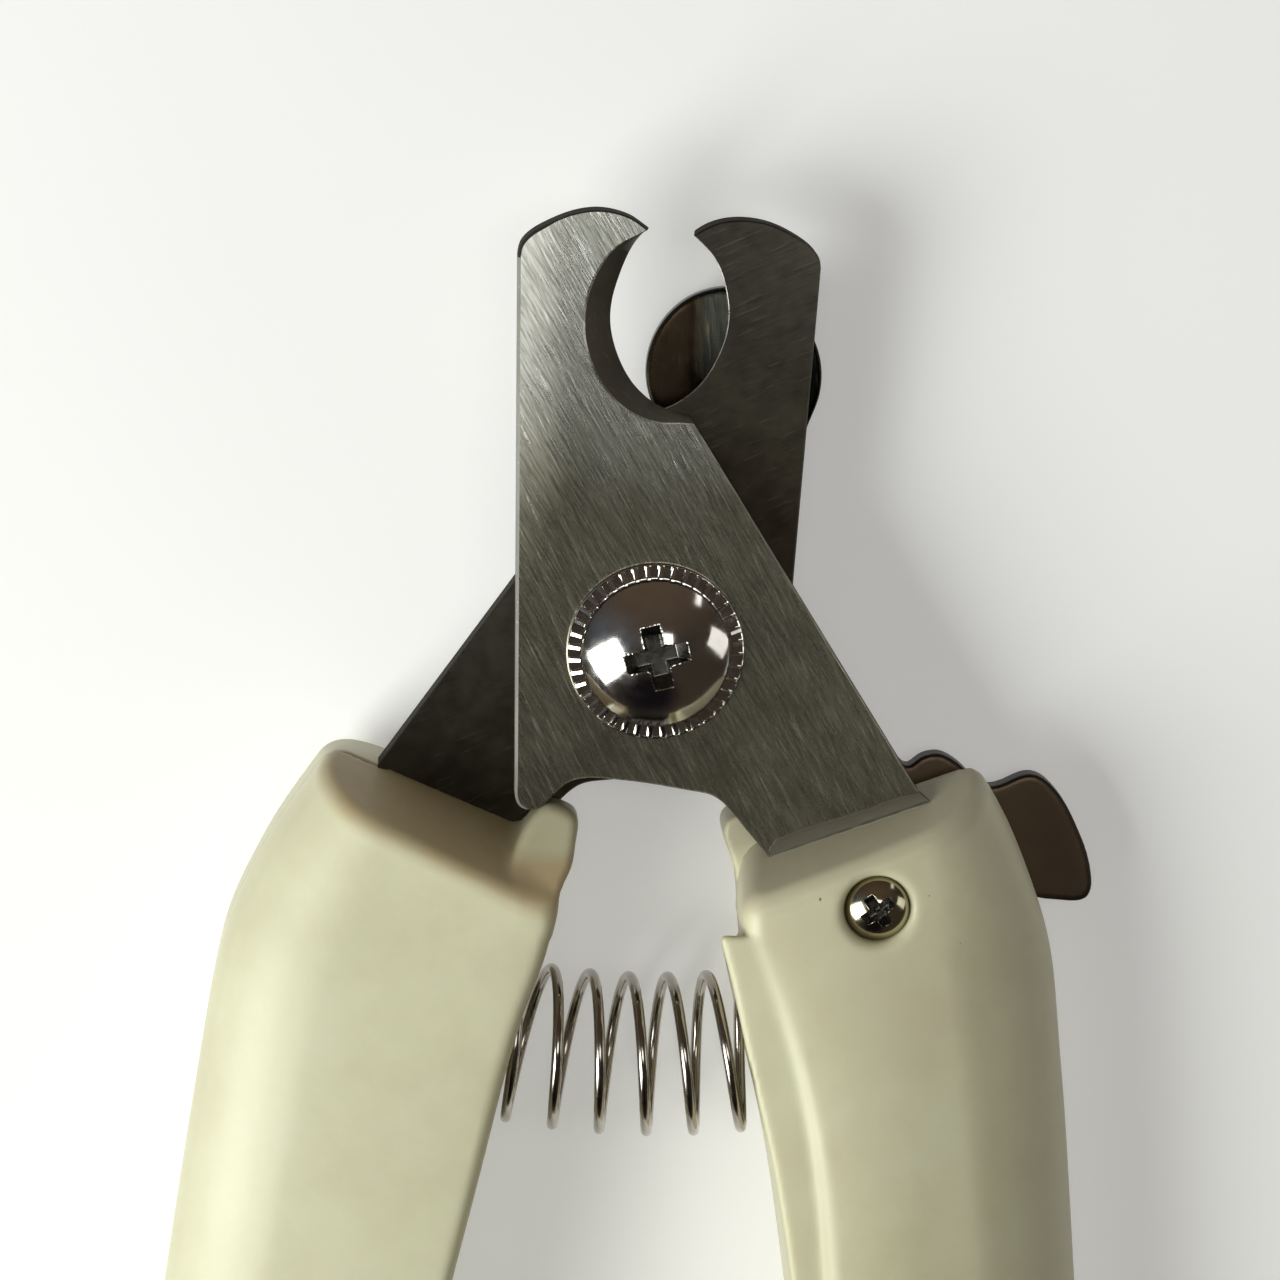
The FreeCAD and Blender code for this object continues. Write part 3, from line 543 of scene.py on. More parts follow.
def nets(f, X, Y, Z, relax=1, steps=2):
    """Closed quad mesh of the surface f = 0 on a grid of samples, pulled onto the surface."""
    n = (len(X), len(Y), len(Z))
    v = np.array(np.broadcast_to(f(X[:, None, None], Y[None, :, None], Z[None, None, :]), n), float)
    big = 9.0
    v[0], v[-1] = np.maximum(v[0], big * 0.01), np.maximum(v[-1], big * 0.01)
    v[:, 0], v[:, -1] = np.maximum(v[:, 0], big * 0.01), np.maximum(v[:, -1], big * 0.01)
    v[:, :, 0], v[:, :, -1] = np.maximum(v[:, :, 0], big * 0.01), np.maximum(v[:, :, -1], big * 0.01)
    s = v < 0
    cnt = np.zeros((n[0] - 1, n[1] - 1, n[2] - 1), np.int8)
    for i in (0, 1):
        for j in (0, 1):
            for k in (0, 1):
                cnt += s[i:n[0] - 1 + i, j:n[1] - 1 + j, k:n[2] - 1 + k]
    mixed = (cnt > 0) & (cnt < 8)
    I = np.array(np.nonzero(mixed))
    m = I.shape[1]
    idx = np.full(mixed.shape, -1, np.int64)
    idx[mixed] = np.arange(m)
    P = np.zeros((m, 3))
    K = np.zeros(m)
    ax = (X, Y, Z)
    for a in range(3):
        b, c = [q for q in range(3) if q != a]
        for ob in (0, 1):
            for oc in (0, 1):
                o = np.zeros(3, int)
                o[b], o[c] = ob, oc
                p0 = I + o[:, None]
                p1 = p0.copy()
                p1[a] += 1
                v0, v1 = v[tuple(p0)], v[tuple(p1)]
                hit = (v0 < 0) != (v1 < 0)
                t = np.where(hit, v0 / np.where(hit, v0 - v1, 1), 0)
                for q in range(3):
                    lo = ax[q][p0[q]]
                    val = lo + (t * (ax[a][p1[a]] - lo) if q == a else 0)
                    P[:, q] += np.where(hit, val, 0)
                K += hit
    P /= K[:, None]
    faces = []
    for a in range(3):
        b, c = ((1, 2), (2, 0), (0, 1))[a]
        sl0 = [slice(None)] * 3
        sl1 = [slice(None)] * 3
        sl0[a], sl1[a] = slice(0, n[a] - 1), slice(1, n[a])
        for q in (b, c):
            sl0[q] = sl1[q] = slice(1, n[q] - 1)
        s0, s1 = s[tuple(sl0)], s[tuple(sl1)]
        E = np.array(np.nonzero(s0 != s1))
        pos = s0[tuple(E)]
        E[b] += 1
        E[c] += 1
        quad = []
        for ob, oc in ((-1, -1), (0, -1), (0, 0), (-1, 0)):
            q = E.copy()
            q[b] += ob
            q[c] += oc
            quad.append(idx[tuple(q)])
        quad = np.stack(quad, 1)
        quad[~pos] = quad[~pos][:, ::-1]
        faces.append(quad)
    F = np.concatenate(faces)
    # cell size near each vertex limits how far a point may be pulled
    size = np.min([np.diff(ax[q])[I[q]] for q in range(3)], axis=0)

    def pull(P, times):
        e = 0.01
        for _ in range(times):
            x, y, z = P.T
            f0 = f(x, y, z)
            g = np.stack([f(x + e, y, z) - f(x - e, y, z), f(x, y + e, z) - f(x, y - e, z),
                          f(x, y, z + e) - f(x, y, z - e)], 1) / (2 * e)
            g2 = np.maximum((g * g).sum(1), 0.05)
            d = -(f0 / g2)[:, None] * g
            L = np.linalg.norm(d, axis=1)
            d *= np.minimum(1, 0.5 * size / np.maximum(L, 1e-9))[:, None]
            P = P + d
        return P
    P = pull(P, steps)
    if relax:
        e = np.concatenate([F[:, [0, 1]], F[:, [1, 2]], F[:, [2, 3]], F[:, [3, 0]]])
        for _ in range(relax):
            S = np.zeros_like(P)
            C = np.zeros(len(P))
            for k in range(3):
                S[:, k] = np.bincount(e[:, 0], P[e[:, 1], k], len(P)) + np.bincount(e[:, 1], P[e[:, 0], k], len(P))
            C = np.bincount(e[:, 0], minlength=len(P)) + np.bincount(e[:, 1], minlength=len(P))
            P = P + 0.5 * (S / np.maximum(C, 1)[:, None] - P)
            P = pull(P, 1)
    return P, F


def make(name, P, F, body, mat, replaces=(), mirror=(1, 1, 1), sharp=None):
    """Mesh object from millimetre points about the pivot."""
    P = np.asarray(P, float) * np.array(mirror, float)
    faces = np.asarray(F) if not isinstance(F, list) else F
    if np.prod(mirror) < 0:
        faces = faces[:, ::-1] if isinstance(faces, np.ndarray) else [list(q)[::-1] for q in faces]
    me = bpy.data.meshes.new(name)
    co = row(P)
    if isinstance(faces, np.ndarray):
        k = faces.shape[1]
        me.vertices.add(len(co))
        me.vertices.foreach_set("co", co.astype(np.float32).ravel())
        me.loops.add(len(faces) * k)
        me.loops.foreach_set("vertex_index", faces.astype(np.int32).ravel())
        me.polygons.add(len(faces))
        me.polygons.foreach_set("loop_start", (np.arange(len(faces)) * k).astype(np.int32))
        me.update(calc_edges=True)
    else:
        me.from_pydata([tuple(c) for c in co], [], [list(map(int, q)) for q in faces])
        me.update()
    me.validate()
    me.polygons.foreach_set("use_smooth", np.ones(len(me.polygons), bool))
    if sharp is not None:
        me.set_sharp_from_angle(angle=math.radians(sharp))
    o = bpy.data.objects.new(name, me)
    bpy.context.scene.collection.objects.link(o)
    me.materials.append(MAT[mat])
    if body is not None:
        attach(o, body)
    if replaces:
        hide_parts(*replaces)
    return o


# ==================================================================== handles
# All outlines are for the right half; the left half uses them turned over.
TOP_IN, TOP_OUT = np.array([8.35, -13.62]), np.array([21.2, -8.54])
TD = (TOP_OUT - TOP_IN) / np.linalg.norm(TOP_OUT - TOP_IN)
TN = np.array([-TD[1], TD[0]])
DROP = 0.42 * TD[0]
HALF_H = 8.20
SCREW_UP, SCREW_LOW = (16.2, -17.1), (27.4, -96.0)
TANG = [(19.1, -9.5), (20.9, -12.6), (24.0, -22.0), (24.6, -34.5), (22.4, -39.2), (17.6, -39.2), (15.7, -36.5),
        (15.4, -24.5), (11.2, -18.2), (8.25, -13.95)]
LOWER = [(30.9, -31.2), (31.5, -36.0), (33.1, -50.0), (34.85, -70.0), (35.4, -88.0), (33.9, -103.5), (28.0, -113.0)]
END_IN = [(28.0, -113.0), (23.1, -109.4), (22.1, -105.0), (19.9, -86.0)]



def halves(outer, inner):
    """One smooth outline through both lists, parted at the butt of the handle."""
    c = smooth(outer + inner[1:], 0.9)
    k = int(np.argmin(np.hypot(c[:, 0] - 28.0, c[:, 1] + 113.0)))
    return c[:k + 1], c[k:]


O_L = [(20.7, -5.5), (22.0, -7.5), (23.49, -9.74), (24.96, -11.96), (26.29, -14.17), (27.45, -16.5), (28.53, -18.9),
       (29.35, -21.3), (30.0, -24.6), (30.5, -28.0)] + LOWER
O_R = [(22.2, -5.9), (23.35, -7.85), (24.2, -9.15), (25.34, -10.95), (26.56, -13.35), (27.8, -16.22), (28.72, -18.6),
       (29.45, -21.3), (30.05, -25.0), (30.5, -28.4)] + LOWER
OUT_L, IN_FRONT_L = halves(O_L, END_IN + [
    (16.5, -66.0), (12.9, -47.0), (10.3, -34.5), (9.5, -30.5), (9.0, -28.3), (7.9, -24.3),
    (7.05, -21.7), (6.5, -19.2), (6.3, -17.3), (6.55, -15.0), (7.4, -12.6), (9.2, -8.0)])
OUT_R, IN_FRONT_R = halves(O_R, END_IN + [
    (16.55, -66.0), (13.9, -47.0), (12.1, -34.5), (10.84, -29.8), (9.86, -26.9), (8.5, -23.3),
    (7.25, -20.4), (6.85, -19.0), (6.75, -17.0), (7.1, -15.0), (7.9, -12.9), (9.6, -9.5)])
IN_REAR_L = halves(O_L, END_IN + [
    (16.55, -66.0), (13.9, -47.0), (12.0, -34.5), (9.95, -26.9), (7.6, -21.2), (6.9, -17.5),
    (7.6, -14.6), (9.2, -10.0)])[1]
IN_REAR_R = halves(O_R, END_IN + [
    (16.5, -66.0), (13.2, -47.0), (10.6, -34.5), (9.4, -29.6), (8.2, -25.6), (7.6, -22.6),
    (7.3, -20.4), (7.16, -18.1), (6.9, -16.5), (7.4, -14.0), (9.0, -10.0)])[1]
# Wall of the spring cup: a ledge that stands out from the inner side, its upper end cut at a slant
LEDGE = np.vstack([smooth([(24.6, -104.0), (21.75, -95.0), (19.3, -86.0), (15.3, -66.0), (12.0, -47.0), (9.45, -34.5), (7.99, -29.29),
                           (6.86, -24.98), (6.08, -22.11), (5.41, -19.97), (4.98, -18.3), (4.6, -16.5)], 0.9),
                   [(9.5, -16.5), (12.5, -25.0), (17.0, -47.0), (22.5, -86.0), (26.4, -104.0)]])
NUB_L = smooth([(6.75, -19.6), (6.35, -18.0), (5.8, -16.2), (5.25, -15.1), (5.02, -13.74), (4.86, -12.70), (4.95, -12.05), (5.38, -11.65),
                (6.25, -11.3), (7.05, -11.28), (7.9, -11.92), (8.75, -13.05), (9.35, -14.3), (9.5, -16.6), (9.4, -19.6)], 0.5)
NUB_R = smooth([(7.2, -19.9), (7.12, -18.1), (6.6, -16.2), (5.98, -14.6), (5.62, -13.5), (5.75, -12.75), (6.3, -12.3),
                (7.1, -11.95), (7.9, -12.0), (8.75, -12.7), (9.6, -14.2), (10.0, -17.0), (9.8, -19.9)], 0.5)
CAV = smooth([(29.2, -44.0), (30.7, -56.0), (31.8, -68.0), (32.9, -80.0), (33.1, -90.0), (32.4, -99.0), (30.6, -105.6),
              (27.6, -110.2)], 1.5)
CAV = np.vstack([CAV, smooth([(25.2, -108.6), (24.5, -103.0), (23.2, -92.0), (21.6, -82.0), (19.6, -71.0), (17.7, -60.0),
                              (16.4, -50.0), (16.2, -44.0)], 1.5)])
POCKET = np.array(TANG + [(6.2, -8.0), (17.4, -6.4)])
SEAT_A, SEAT_R = 0.2165, 6.35
SPRING_Y, SPRING_RAD = 24.6, 54.4
ARM_LOW = [(29.2, -18.15), (26.8, -17.7), (24.0, -16.4), (18.0, -13.1), (12.0, -10.4), (6.0, -8.3)]
c6, s6 = math.cos(math.radians(-6)), math.sin(math.radians(-6))
ROOM = [(c6 * x - s6 * y, s6 * x + c6 * y - 0.45) for x, y in ARM_LOW[::-1]]
ROOM = np.array([(-2.0, -8.6)] + ROOM + [(40.0, ROOM[-1][1] - 0.6), (40.0, 5.0), (-2.0, 5.0)])


def seat_d(x, y, z):
    """Round seat of the spring, square to the coil axis."""
    dx, dy = math.cos(SEAT_A), math.sin(SEAT_A)
    cx, cy = SPRING_RAD * math.sin(SEAT_A), SPRING_Y - SPRING_RAD * math.cos(SEAT_A)
    t = (x - cx) * dx + (y - cy) * dy
    q = -(x - cx) * dy + (y - cy) * dx
    return np.maximum(np.hypot(q, z) - SEAT_R, t - 0.435)


def shell(kind):
    """Surface function of one handle shell, parting plane at z = 0, outside face up."""
    OUT, INN = {"front_L": (OUT_L, IN_FRONT_L), "front_R": (OUT_R, IN_FRONT_R),
                "rear_L": (OUT_L, IN_REAR_L), "rear_R": (OUT_R, IN_REAR_R)}[kind]
    P = np.vstack([OUT, INN[1:]])
    front = kind.startswith("front")
    holds_tang = kind in ("front_R", "rear_L")

    def f(x, y, z):
        do, di = chain_d(x, y, OUT), chain_d(x, y, INN)
        d = np.where(inside(x, y, P), 1.0, -1.0) * np.minimum(do, di)
        u = di / (di + do + 1e-9)                      # 0 on the inner edge, 1 on the outer one
        butt = sstep(-y, 96, 110)
        u = u + (0.5 - u) * butt                       # the same all round the butt
        v = -((x - TOP_IN[0]) * TN[0] + (y - TOP_IN[1]) * TN[1])
        crown = (2 * u - 1) ** 2
        if front:
            # the outside face falls away towards the outer edge
            fall = (1.5 * u ** 2.2 if kind == "front_L" else 2.7 * u ** 1.5) * (1 - 0.6 * sstep(-y, 50, 95))
            H = HALF_H + 0.20 - 0.30 * crown - fall
            if kind == "front_R":
                H = H - 4.2 * np.maximum(0.40 - u, 0) ** 2
            near = np.exp(-(np.maximum(v, 0) / 17.0) ** 2)
            cam = sstep(di, 0, 11) if kind == "front_L" else 1.0
            H = H - near * (0.45 + 0.55 * cam if kind == "front_L" else (1.15 - 0.9 * u * u) * (0.55 + 0.45 * sstep(u, 0, 0.35)))
        else:
            H = HALF_H - 0.30 * crown ** 2
        k = sstep(u, 0.25, 0.75)
        if front:
            far = sstep(v, 1.0, 15.0)
            w = (1.05 if kind == "front_L" else 1.5) * (1 - k) + ((6.4 + 2.4 * far) if kind == "front_L" else (6.4 + 4.2 * far)) * k
            e = (1.05 if kind == "front_L" else 1.5) * (1 - k) + (4.4 if kind == "front_L" else 4.9) * k
        else:
            w = 2.0 * (1 - k) + 5.2 * k
            e = 2.0 * (1 - k) + 4.6 * k
        a = (w - d) / w
        b = (z - (H - e)) / e
        ac, bc = np.maximum(a, 0), np.maximum(b, 0)
        if front:
            ac = ac ** (1 + 0.25 * k)              # eases into the flat
        r = np.hypot(ac, bc)
        sc = np.where(r > 1e-6, (w * ac * ac + e * bc * bc) / np.maximum(r * r, 1e-9), np.minimum(w, e))
        G = (r - 1) * sc
        G = np.where(r > 1e-6, G, np.maximum(-d, z - H) + 0.0)
        slope = 0.0 if kind == "rear_L" else DROP
        T = (-v + slope * z) / math.sqrt(1 + slope * slope)
        B = rmax(G, T, 0.95 if front else 1.5)
        if kind == "front_L":
            nub = rmax(poly_d(x, y, NUB_L), (z - 7.1 + 0.75 * np.maximum(y + 17.2, 0)) / 1.25, 0.6)
            B = rmin(B, nub, 0.7)
        if kind == "rear_R":
            nub = rmax(poly_d(x, y, NUB_R), z - 5.6, 1.2)
            B = rmin(B, nub, 0.5)
        if kind.endswith("_R"):
            end = (y + 20.95 - (0.25 if front else -0.25) * z) / 1.03
            low = 2.6 * sstep(-y, 68.0, 96.0)          # sinks into the shell towards the butt
            led = rmax(rmax(poly_d(x, y, LEDGE), end, 0.45), z - (6.85 if front else 7.0) + low, 0.40)
            B = rmin(B, led, 0.30)
        # seam edge, run a little way into the blade where it lies against it
        over = 0.40 * sstep(-poly_d(x, y, POCKET), 0.4, 1.0) if kind == "front_L" else 0.0
        B = rmax(B, 0.02 - over - z, 0.28)
        # inside
        B = cut(B, np.maximum(np.maximum(poly_d(x, y, CAV), z - 6.2), G + 1.9))
        boss = np.maximum(np.hypot(x - SCREW_LOW[0], y - SCREW_LOW[1]) - 3.4, G + 0.9)
        B = np.minimum(B, np.maximum(boss, 0.02 - z))
        B = cut(B, seat_d(x, y, z), 0.35)
        if holds_tang:
            pk = np.maximum(poly_d(x, y, POCKET) - 0.05, z - 2.53)
            pk = cut(pk, np.hypot(x - 20.2, y + 32.5) - 1.95)
            B = cut(B, np.maximum(pk, T + 0.90), 0.12)
        for sx, sy in (SCREW_UP, SCREW_LOW):
            r2 = np.hypot(x - sx, y - sy)
            if holds_tang:
                top = H - 1.62 if kind == "front_R" and sy > -50 else HALF_H - 1.75
                B = cut(B, np.maximum(r2 - 1.5, -1.0 - z))
                # the seat of the screw head, with a soft lip
                B = cut(B, np.maximum(r2 - 2.31, top - z), 0.75 if kind == "front_R" else 0.5)
            else:
                B = cut(B, np.maximum(r2 - 1.34, z - 5.9))
        if kind == "rear_R":
            B = cut(B, np.maximum(poly_d(x, y, ROOM), 2.84 - z), 0.25)
        return B
    return f


GX = axis_steps(3.9, 0.33, 36.2)
GY = axis_steps(-114.2, 0.85, -60.0, 0.6, -40.0, 0.33, -6.8)
GZ = axis_steps(-0.5, 0.33, 9.0)

P, F = nets(shell("front_L"), GX, GY, GZ)
make("left_handle_front", P, F, "left_half", "cream_l", ["left_handle_front_shell"], (-1, 1, 1))
P, F = nets(shell("front_R"), GX, GY, GZ)
make("right_handle_front", P, F, "right_half", "cream_r", ["right_handle_front_shell"], (1, 1, 1))
P, F = nets(shell("rear_L"), GX, GY, GZ)
make("left_handle_rear", P, F, "left_half", "cream_l", ["left_handle_rear_shell"], (-1, 1, -1))
P, F = nets(shell("rear_R"), GX, GY, GZ)
make("right_handle_rear", P, F, "right_half", "cream_r", ["right_handle_rear_shell"], (1, 1, -1))

# ===================================================================== blades
TIP = (-1.45, 28.92)
JAW_TOP = smooth([(-10.40, 27.0), (-10.26, 27.70), (-9.75, 28.36), (-8.80, 29.02), (-7.6, 29.62), (-6.3, 30.02), (-5.0, 30.15),
                  (-3.9, 30.07), (-2.9, 29.80), (-2.1, 29.40), TIP], 0.3)
EDGE = smooth([TIP, (-2.10, 28.36), (-2.80, 27.62), (-3.35, 26.76), (-3.77, 25.60), (-4.05, 24.40), (-4.14, 23.30),
               (-4.05, 22.25), (-3.75, 21.10), (-3.20, 19.80), (-2.40, 18.55), (-1.55, 17.70), (-0.60, 17.05), (0.50, 16.60),
               (1.75, 16.38)], 0.25)
BEVEL = smooth([(-1.62, 29.02), (-2.55, 28.58), (-3.75, 28.18), (-4.62, 27.50), (-5.45, 26.10), (-5.93, 24.60), (-6.06, 23.17),
                (-5.90, 21.57), (-5.38, 19.99), (-4.55, 18.59), (-3.53, 17.45), (-2.38, 16.68), (-1.22, 16.24), (-0.22, 16.08),
                (0.75, 16.12), (1.95, 16.10)], 0.25)
BOTTOM = smooth([(8.25, -13.95), (6.80, -12.35), (5.60, -11.00), (4.60, -10.28), (3.2, -9.98), (-0.10, -9.52), (-2.50, -9.32),
                 (-4.60, -9.32), (-5.60, -9.62), (-6.85, -10.85)], 0.3)
HEEL = smooth([(-6.85, -10.85), (-7.5, -11.45), (-8.20, -11.72), (-8.80, -11.45), (-9.08, -10.85), (-9.12, -9.95)], 0.2)


# the front jaw is a little fuller at its tip than the rear one
JAW_TOP_F = smooth([(-10.80, 27.2), (-10.64, 28.08), (-10.02, 28.86), (-8.88, 29.60), (-7.6, 30.21), (-6.3, 30.60), (-5.0, 30.70),
                    (-3.95, 30.54), (-3.0, 30.22), (-2.35, 29.82), (-1.75, 29.40)], 0.3)
EDGE_F = smooth([(-1.75, 29.40), (-2.38, 28.75), (-2.95, 27.85), (-3.38, 26.82), (-3.77, 25.60), (-4.05, 24.40), (-4.14, 23.30),
                 (-4.05, 22.25), (-3.75, 21.10), (-3.20, 19.80), (-2.40, 18.55), (-1.55, 17.70), (-0.60, 17.05), (0.50, 16.60),
                 (1.75, 16.38)], 0.25)
BEVEL_F = smooth([(-1.93, 29.48), (-2.78, 28.98), (-3.85, 28.35), (-4.65, 27.55), (-5.45, 26.10), (-5.93, 24.60), (-6.06, 23.17),
                  (-5.90, 21.57), (-5.38, 19.99), (-4.55, 18.59), (-3.53, 17.45), (-2.38, 16.68), (-1.22, 16.24), (-0.22, 16.08),
                  (0.75, 16.12), (1.95, 16.10)], 0.25)

HEEL_F = smooth([(-6.85, -10.85), (-7.5, -11.45), (-8.30, -11.74), (-9.02, -11.50), (-9.36, -10.85), (-9.41, -9.95)], 0.2)


def blade(name, body, mat, node, mirror, jaw, edge, bevel, heel, worn):
    N = 90
    ed, be = resample(edge, N), resample(bevel, N)
    back = np.array([(10.7, 3.0), (19.1, -9.5)] + TANG[1:-1])
    rest = np.vstack([back, BOTTOM, heel[1:], jaw[:-1]])
    lo = np.vstack([ed, rest])
    hi = np.vstack([be, rest])
    is_edge = np.r_[np.ones(N, bool), np.zeros(len(rest), bool)]
    # make the outline run counter-clockwise
    area2 = np.sum(lo[:, 0] * np.roll(lo[:, 1], -1) - np.roll(lo[:, 0], -1) * lo[:, 1])
    if area2 < 0:
        lo, hi, is_edge = lo[::-1], hi[::-1], is_edge[::-1]

    def inset(c, amount):
        t = np.roll(c, -1, 0) - np.roll(c, 1, 0)
        t /= np.maximum(np.linalg.norm(t, axis=1), 1e-9)[:, None]
        n = np.stack([-t[:, 1], t[:, 0]], 1)
        return c + n * amount[:, None]
    z0, z1 = 0.02, 2.52
    # the corner of the back edge is worn wider on the front blade
    c = 0.11 + (0.09 * np.clip(-lo[:, 0] - 8.2, 0, 1) if worn else np.zeros(len(lo)))
    ce = np.where(is_edge, 0.045, 0.11)
    rings = [(inset(lo, ce), np.full(len(lo), z0)),
             (lo, z0 + ce * np.where(is_edge, 0.9, 1.0)),
             (lo, np.full(len(lo), z0 + 0.25)),
             (lo + (hi - lo) * ((z1 - c - z0 - 0.25) / (z1 - z0 - 0.25))[:, None], z1 - c),
             (inset(hi, np.where(is_edge, 0.06, c)), np.full(len(lo), z1))]
    n = len(lo)
    V, Fc = [], []
    for p, z in rings:
        V += [(a, b, zz) for (a, b), zz in zip(p, z)]
    ground = []
    for r in range(len(rings) - 1):
        for i in range(n):
            j = (i + 1) % n
            Fc.append((r * n + i, r * n + j, (r + 1) * n + j, (r + 1) * n + i))
            notch = bool(is_edge[i] and is_edge[j])
            jaw_top = min(lo[i][1], lo[j][1]) > 26.3 and not notch
            at_back = worn and not notch and lo[i][0] < -8.5 and not jaw_top
            back_edge = r == 3 and at_back
            back_side = r in (1, 2) and at_back
            # the back edge and back side of the front blade take the pale painted highlight
            ground.append(2 if notch and r == 0 else 1 if notch and r in (1, 2) else 5 if back_side
                          else 3 if r in (1, 2) or (jaw_top and r == 3) else 4 if back_edge else 0)
    holes = [((0, 0), 3.05, 64), (SCREW_UP, 1.65, 32), ((20.2, -32.5), 2.0, 32)]
    loops_lo, loops_hi = [list(range(n))], [list(range((len(rings) - 1) * n, len(rings) * n))]
    for (hx, hy), hr, k in holes:
        th = -np.arange(k) / k * 2 * math.pi
        b0 = len(V)
        V += [(hx + hr * math.cos(t), hy + hr * math.sin(t), z0) for t in th]
        V += [(hx + hr * math.cos(t), hy + hr * math.sin(t), z1) for t in th]
        for i in range(k):
            j = (i + 1) % k
            Fc.append((b0 + i, b0 + j, b0 + k + j, b0 + k + i))
        loops_lo.append(list(range(b0, b0 + k)))
        loops_hi.append(list(range(b0 + k, b0 + 2 * k)))
    from mathutils.geometry import tessellate_polygon
    for loops, up in ((loops_hi, True), (loops_lo, False)):
        flat = [i for lp in loops for i in lp]
        tri = tessellate_polygon([[Vector((V[i][0], V[i][1], 0)) for i in lp] for lp in loops])
        for t in tri:
            q = [flat[i] for i in t]
            a, b, d = (np.array(V[i][:2]) for i in q)
            cr2 = (b[0] - a[0]) * (d[1] - a[1]) - (b[1] - a[1]) * (d[0] - a[0])
            if abs(cr2) < 1e-12:
                continue
            Fc.append(q if (cr2 > 0) == up else q[::-1])
    o = make(name, V, Fc, body, mat, [node], mirror, sharp=28)
    o.data.materials.append(MAT["bevel"])
    o.data.materials.append(MAT["bright_edge"])
    o.data.materials.append(MAT["sawn_side"])
    o.data.materials.append(MAT["edge_painted_highlight"])
    o.data.materials.append(MAT["side_painted_highlight"])
    for i, g in enumerate(ground):
        o.data.polygons[i].material_index = g
    return o


blade("front_blade_ground", "right_half", "front_blade", "front_blade", (1, 1, 1), JAW_TOP_F, EDGE_F, BEVEL_F,
      HEEL_F, True)
blade("rear_blade_ground", "left_half", "rear_blade", "rear_blade", (-1, 1, -1), JAW_TOP, EDGE, BEVEL, HEEL, False)

# ================================================================ pivot stack
ZF1 = 2.52
# serrated washer: a pressed ring with ribs between small pits
nr_r = np.r_[np.linspace(3.05, 4.96, 4), np.linspace(5.02, 6.20, 22), [6.25, 6.27, 6.27]]
nt = 40 * 16
th = np.arange(nt) / nt * 2 * math.pi
rr, tt = np.meshgrid(nr_r, th, indexing="ij")
top = np.interp(rr, [3.05, 5.22, 5.36, 6.14, 6.22, 6.27], [3.47, 3.47, 3.44, 3.00, 2.92, 2.70])
ph = (tt * 40 / (2 * math.pi)) % 1.0
# valley across 70 % of each pitch
valley = sstep(ph, 0.0, 0.09) * (1 - sstep(ph, 0.65, 0.74))
radial = sstep(rr, 5.00, 5.15) * (1 - sstep(rr, 6.08, 6.15))
zz = top + (np.minimum(top, 2.84) - top) * valley * radial
zz[-1] = ZF1 + 0.005
zz[-2] = 2.66
pts = np.stack([rr * np.cos(tt), rr * np.sin(tt), zz], -1)
nr = len(nr_r)
low = np.stack([3.05 * np.cos(th), 3.05 * np.sin(th), np.full(nt, ZF1 + 0.005)], -1)[None]
pts = np.concatenate([low, pts]).reshape(-1, 3)
ii, jj = np.meshgrid(np.arange(nr), np.arange(nt), indexing="ij")
a0 = ii * nt + jj
a1 = ii * nt + (jj + 1) % nt
quads = np.stack([a0, a0 + nt, a1 + nt, a1], -1).reshape(-1, 4)
last = np.arange(nt)
close = np.stack([nr * nt + last, last, (last + 1) % nt, nr * nt + (last + 1) % nt], -1)
make("serrated_ring", pts, np.concatenate([quads, close]), "right_half", "chrome", ["serrated_washer"], sharp=50)


def cross_recess(x, y, zt, depth, half_w, half_l, turn):
    """Phillips recess: two tapering slots and a pointed middle. Negative inside. zt is the height under the crown."""
    c, s = math.cos(turn), math.sin(turn)
    u, v = c * x + s * y, -s * x + c * y
    k = np.clip(zt / depth, 0, 1.2)                 # 0 at the crown, 1 at the floor
    hw = half_w * (1 - 0.34 * k)
    hl = half_l * (1 - 0.52 * k)
    a = np.maximum(np.abs(u) - hl, np.abs(v) - hw)
    b = np.maximum(np.abs(v) - hl, np.abs(u) - hw)
    m = np.maximum(np.minimum(a, b), zt - depth)
    core = np.maximum(np.hypot(x, y) - half_w * 1.6 * (1 - 0.75 * np.clip(zt / (depth * 1.25), 0, 1.3)), zt - depth * 1.3)
    return np.minimum(m, core)


def mark_recess(o, centres, hidden, key):
    """Second material on the faces for which hidden(x, y, z) is true; x, y, z in mm of the plain piece."""
    o.data.materials.append(MAT[key])
    flags = hidden(centres[:, 0], centres[:, 1], centres[:, 2])
    o.data.polygons.foreach_set("material_index", flags.astype(np.int32))


PV_R = (5.25 ** 2 + 2.16 ** 2) / (2 * 2.16)
PV_TOP = 3.47 + 2.18


def pivot_screw(x, y, z):
    zh = 3.47
    rho = np.hypot(x, y)
    dome = np.sqrt(x * x + y * y + (z - (PV_TOP - PV_R)) ** 2) - PV_R
    head = rmax(dome, rho - 5.25, 0.03)
    head = np.maximum(head, zh - z)
    head = cut(head, cross_recess(x, y, PV_TOP - z, 1.75, 0.72, 2.55, math.radians(16)))
    shank = np.maximum(np.maximum(rho - 3.0, -5.41 - z), z - 4.2)
    ang = np.arctan2(y, x)
    pitch = 0.8
    w = (z / pitch - ang / (2 * math.pi)) % 1.0
    thread = rho - 2.4 + 0.30 * (1 - np.abs(2 * w - 1)) - 0.02
    thread = np.maximum(thread, rho - 2.4)
    thread = rmax(thread, -7.98 - z, 0.30)
    thread = np.maximum(thread, z + 5.3)
    return np.minimum(np.minimum(head, shank), thread)


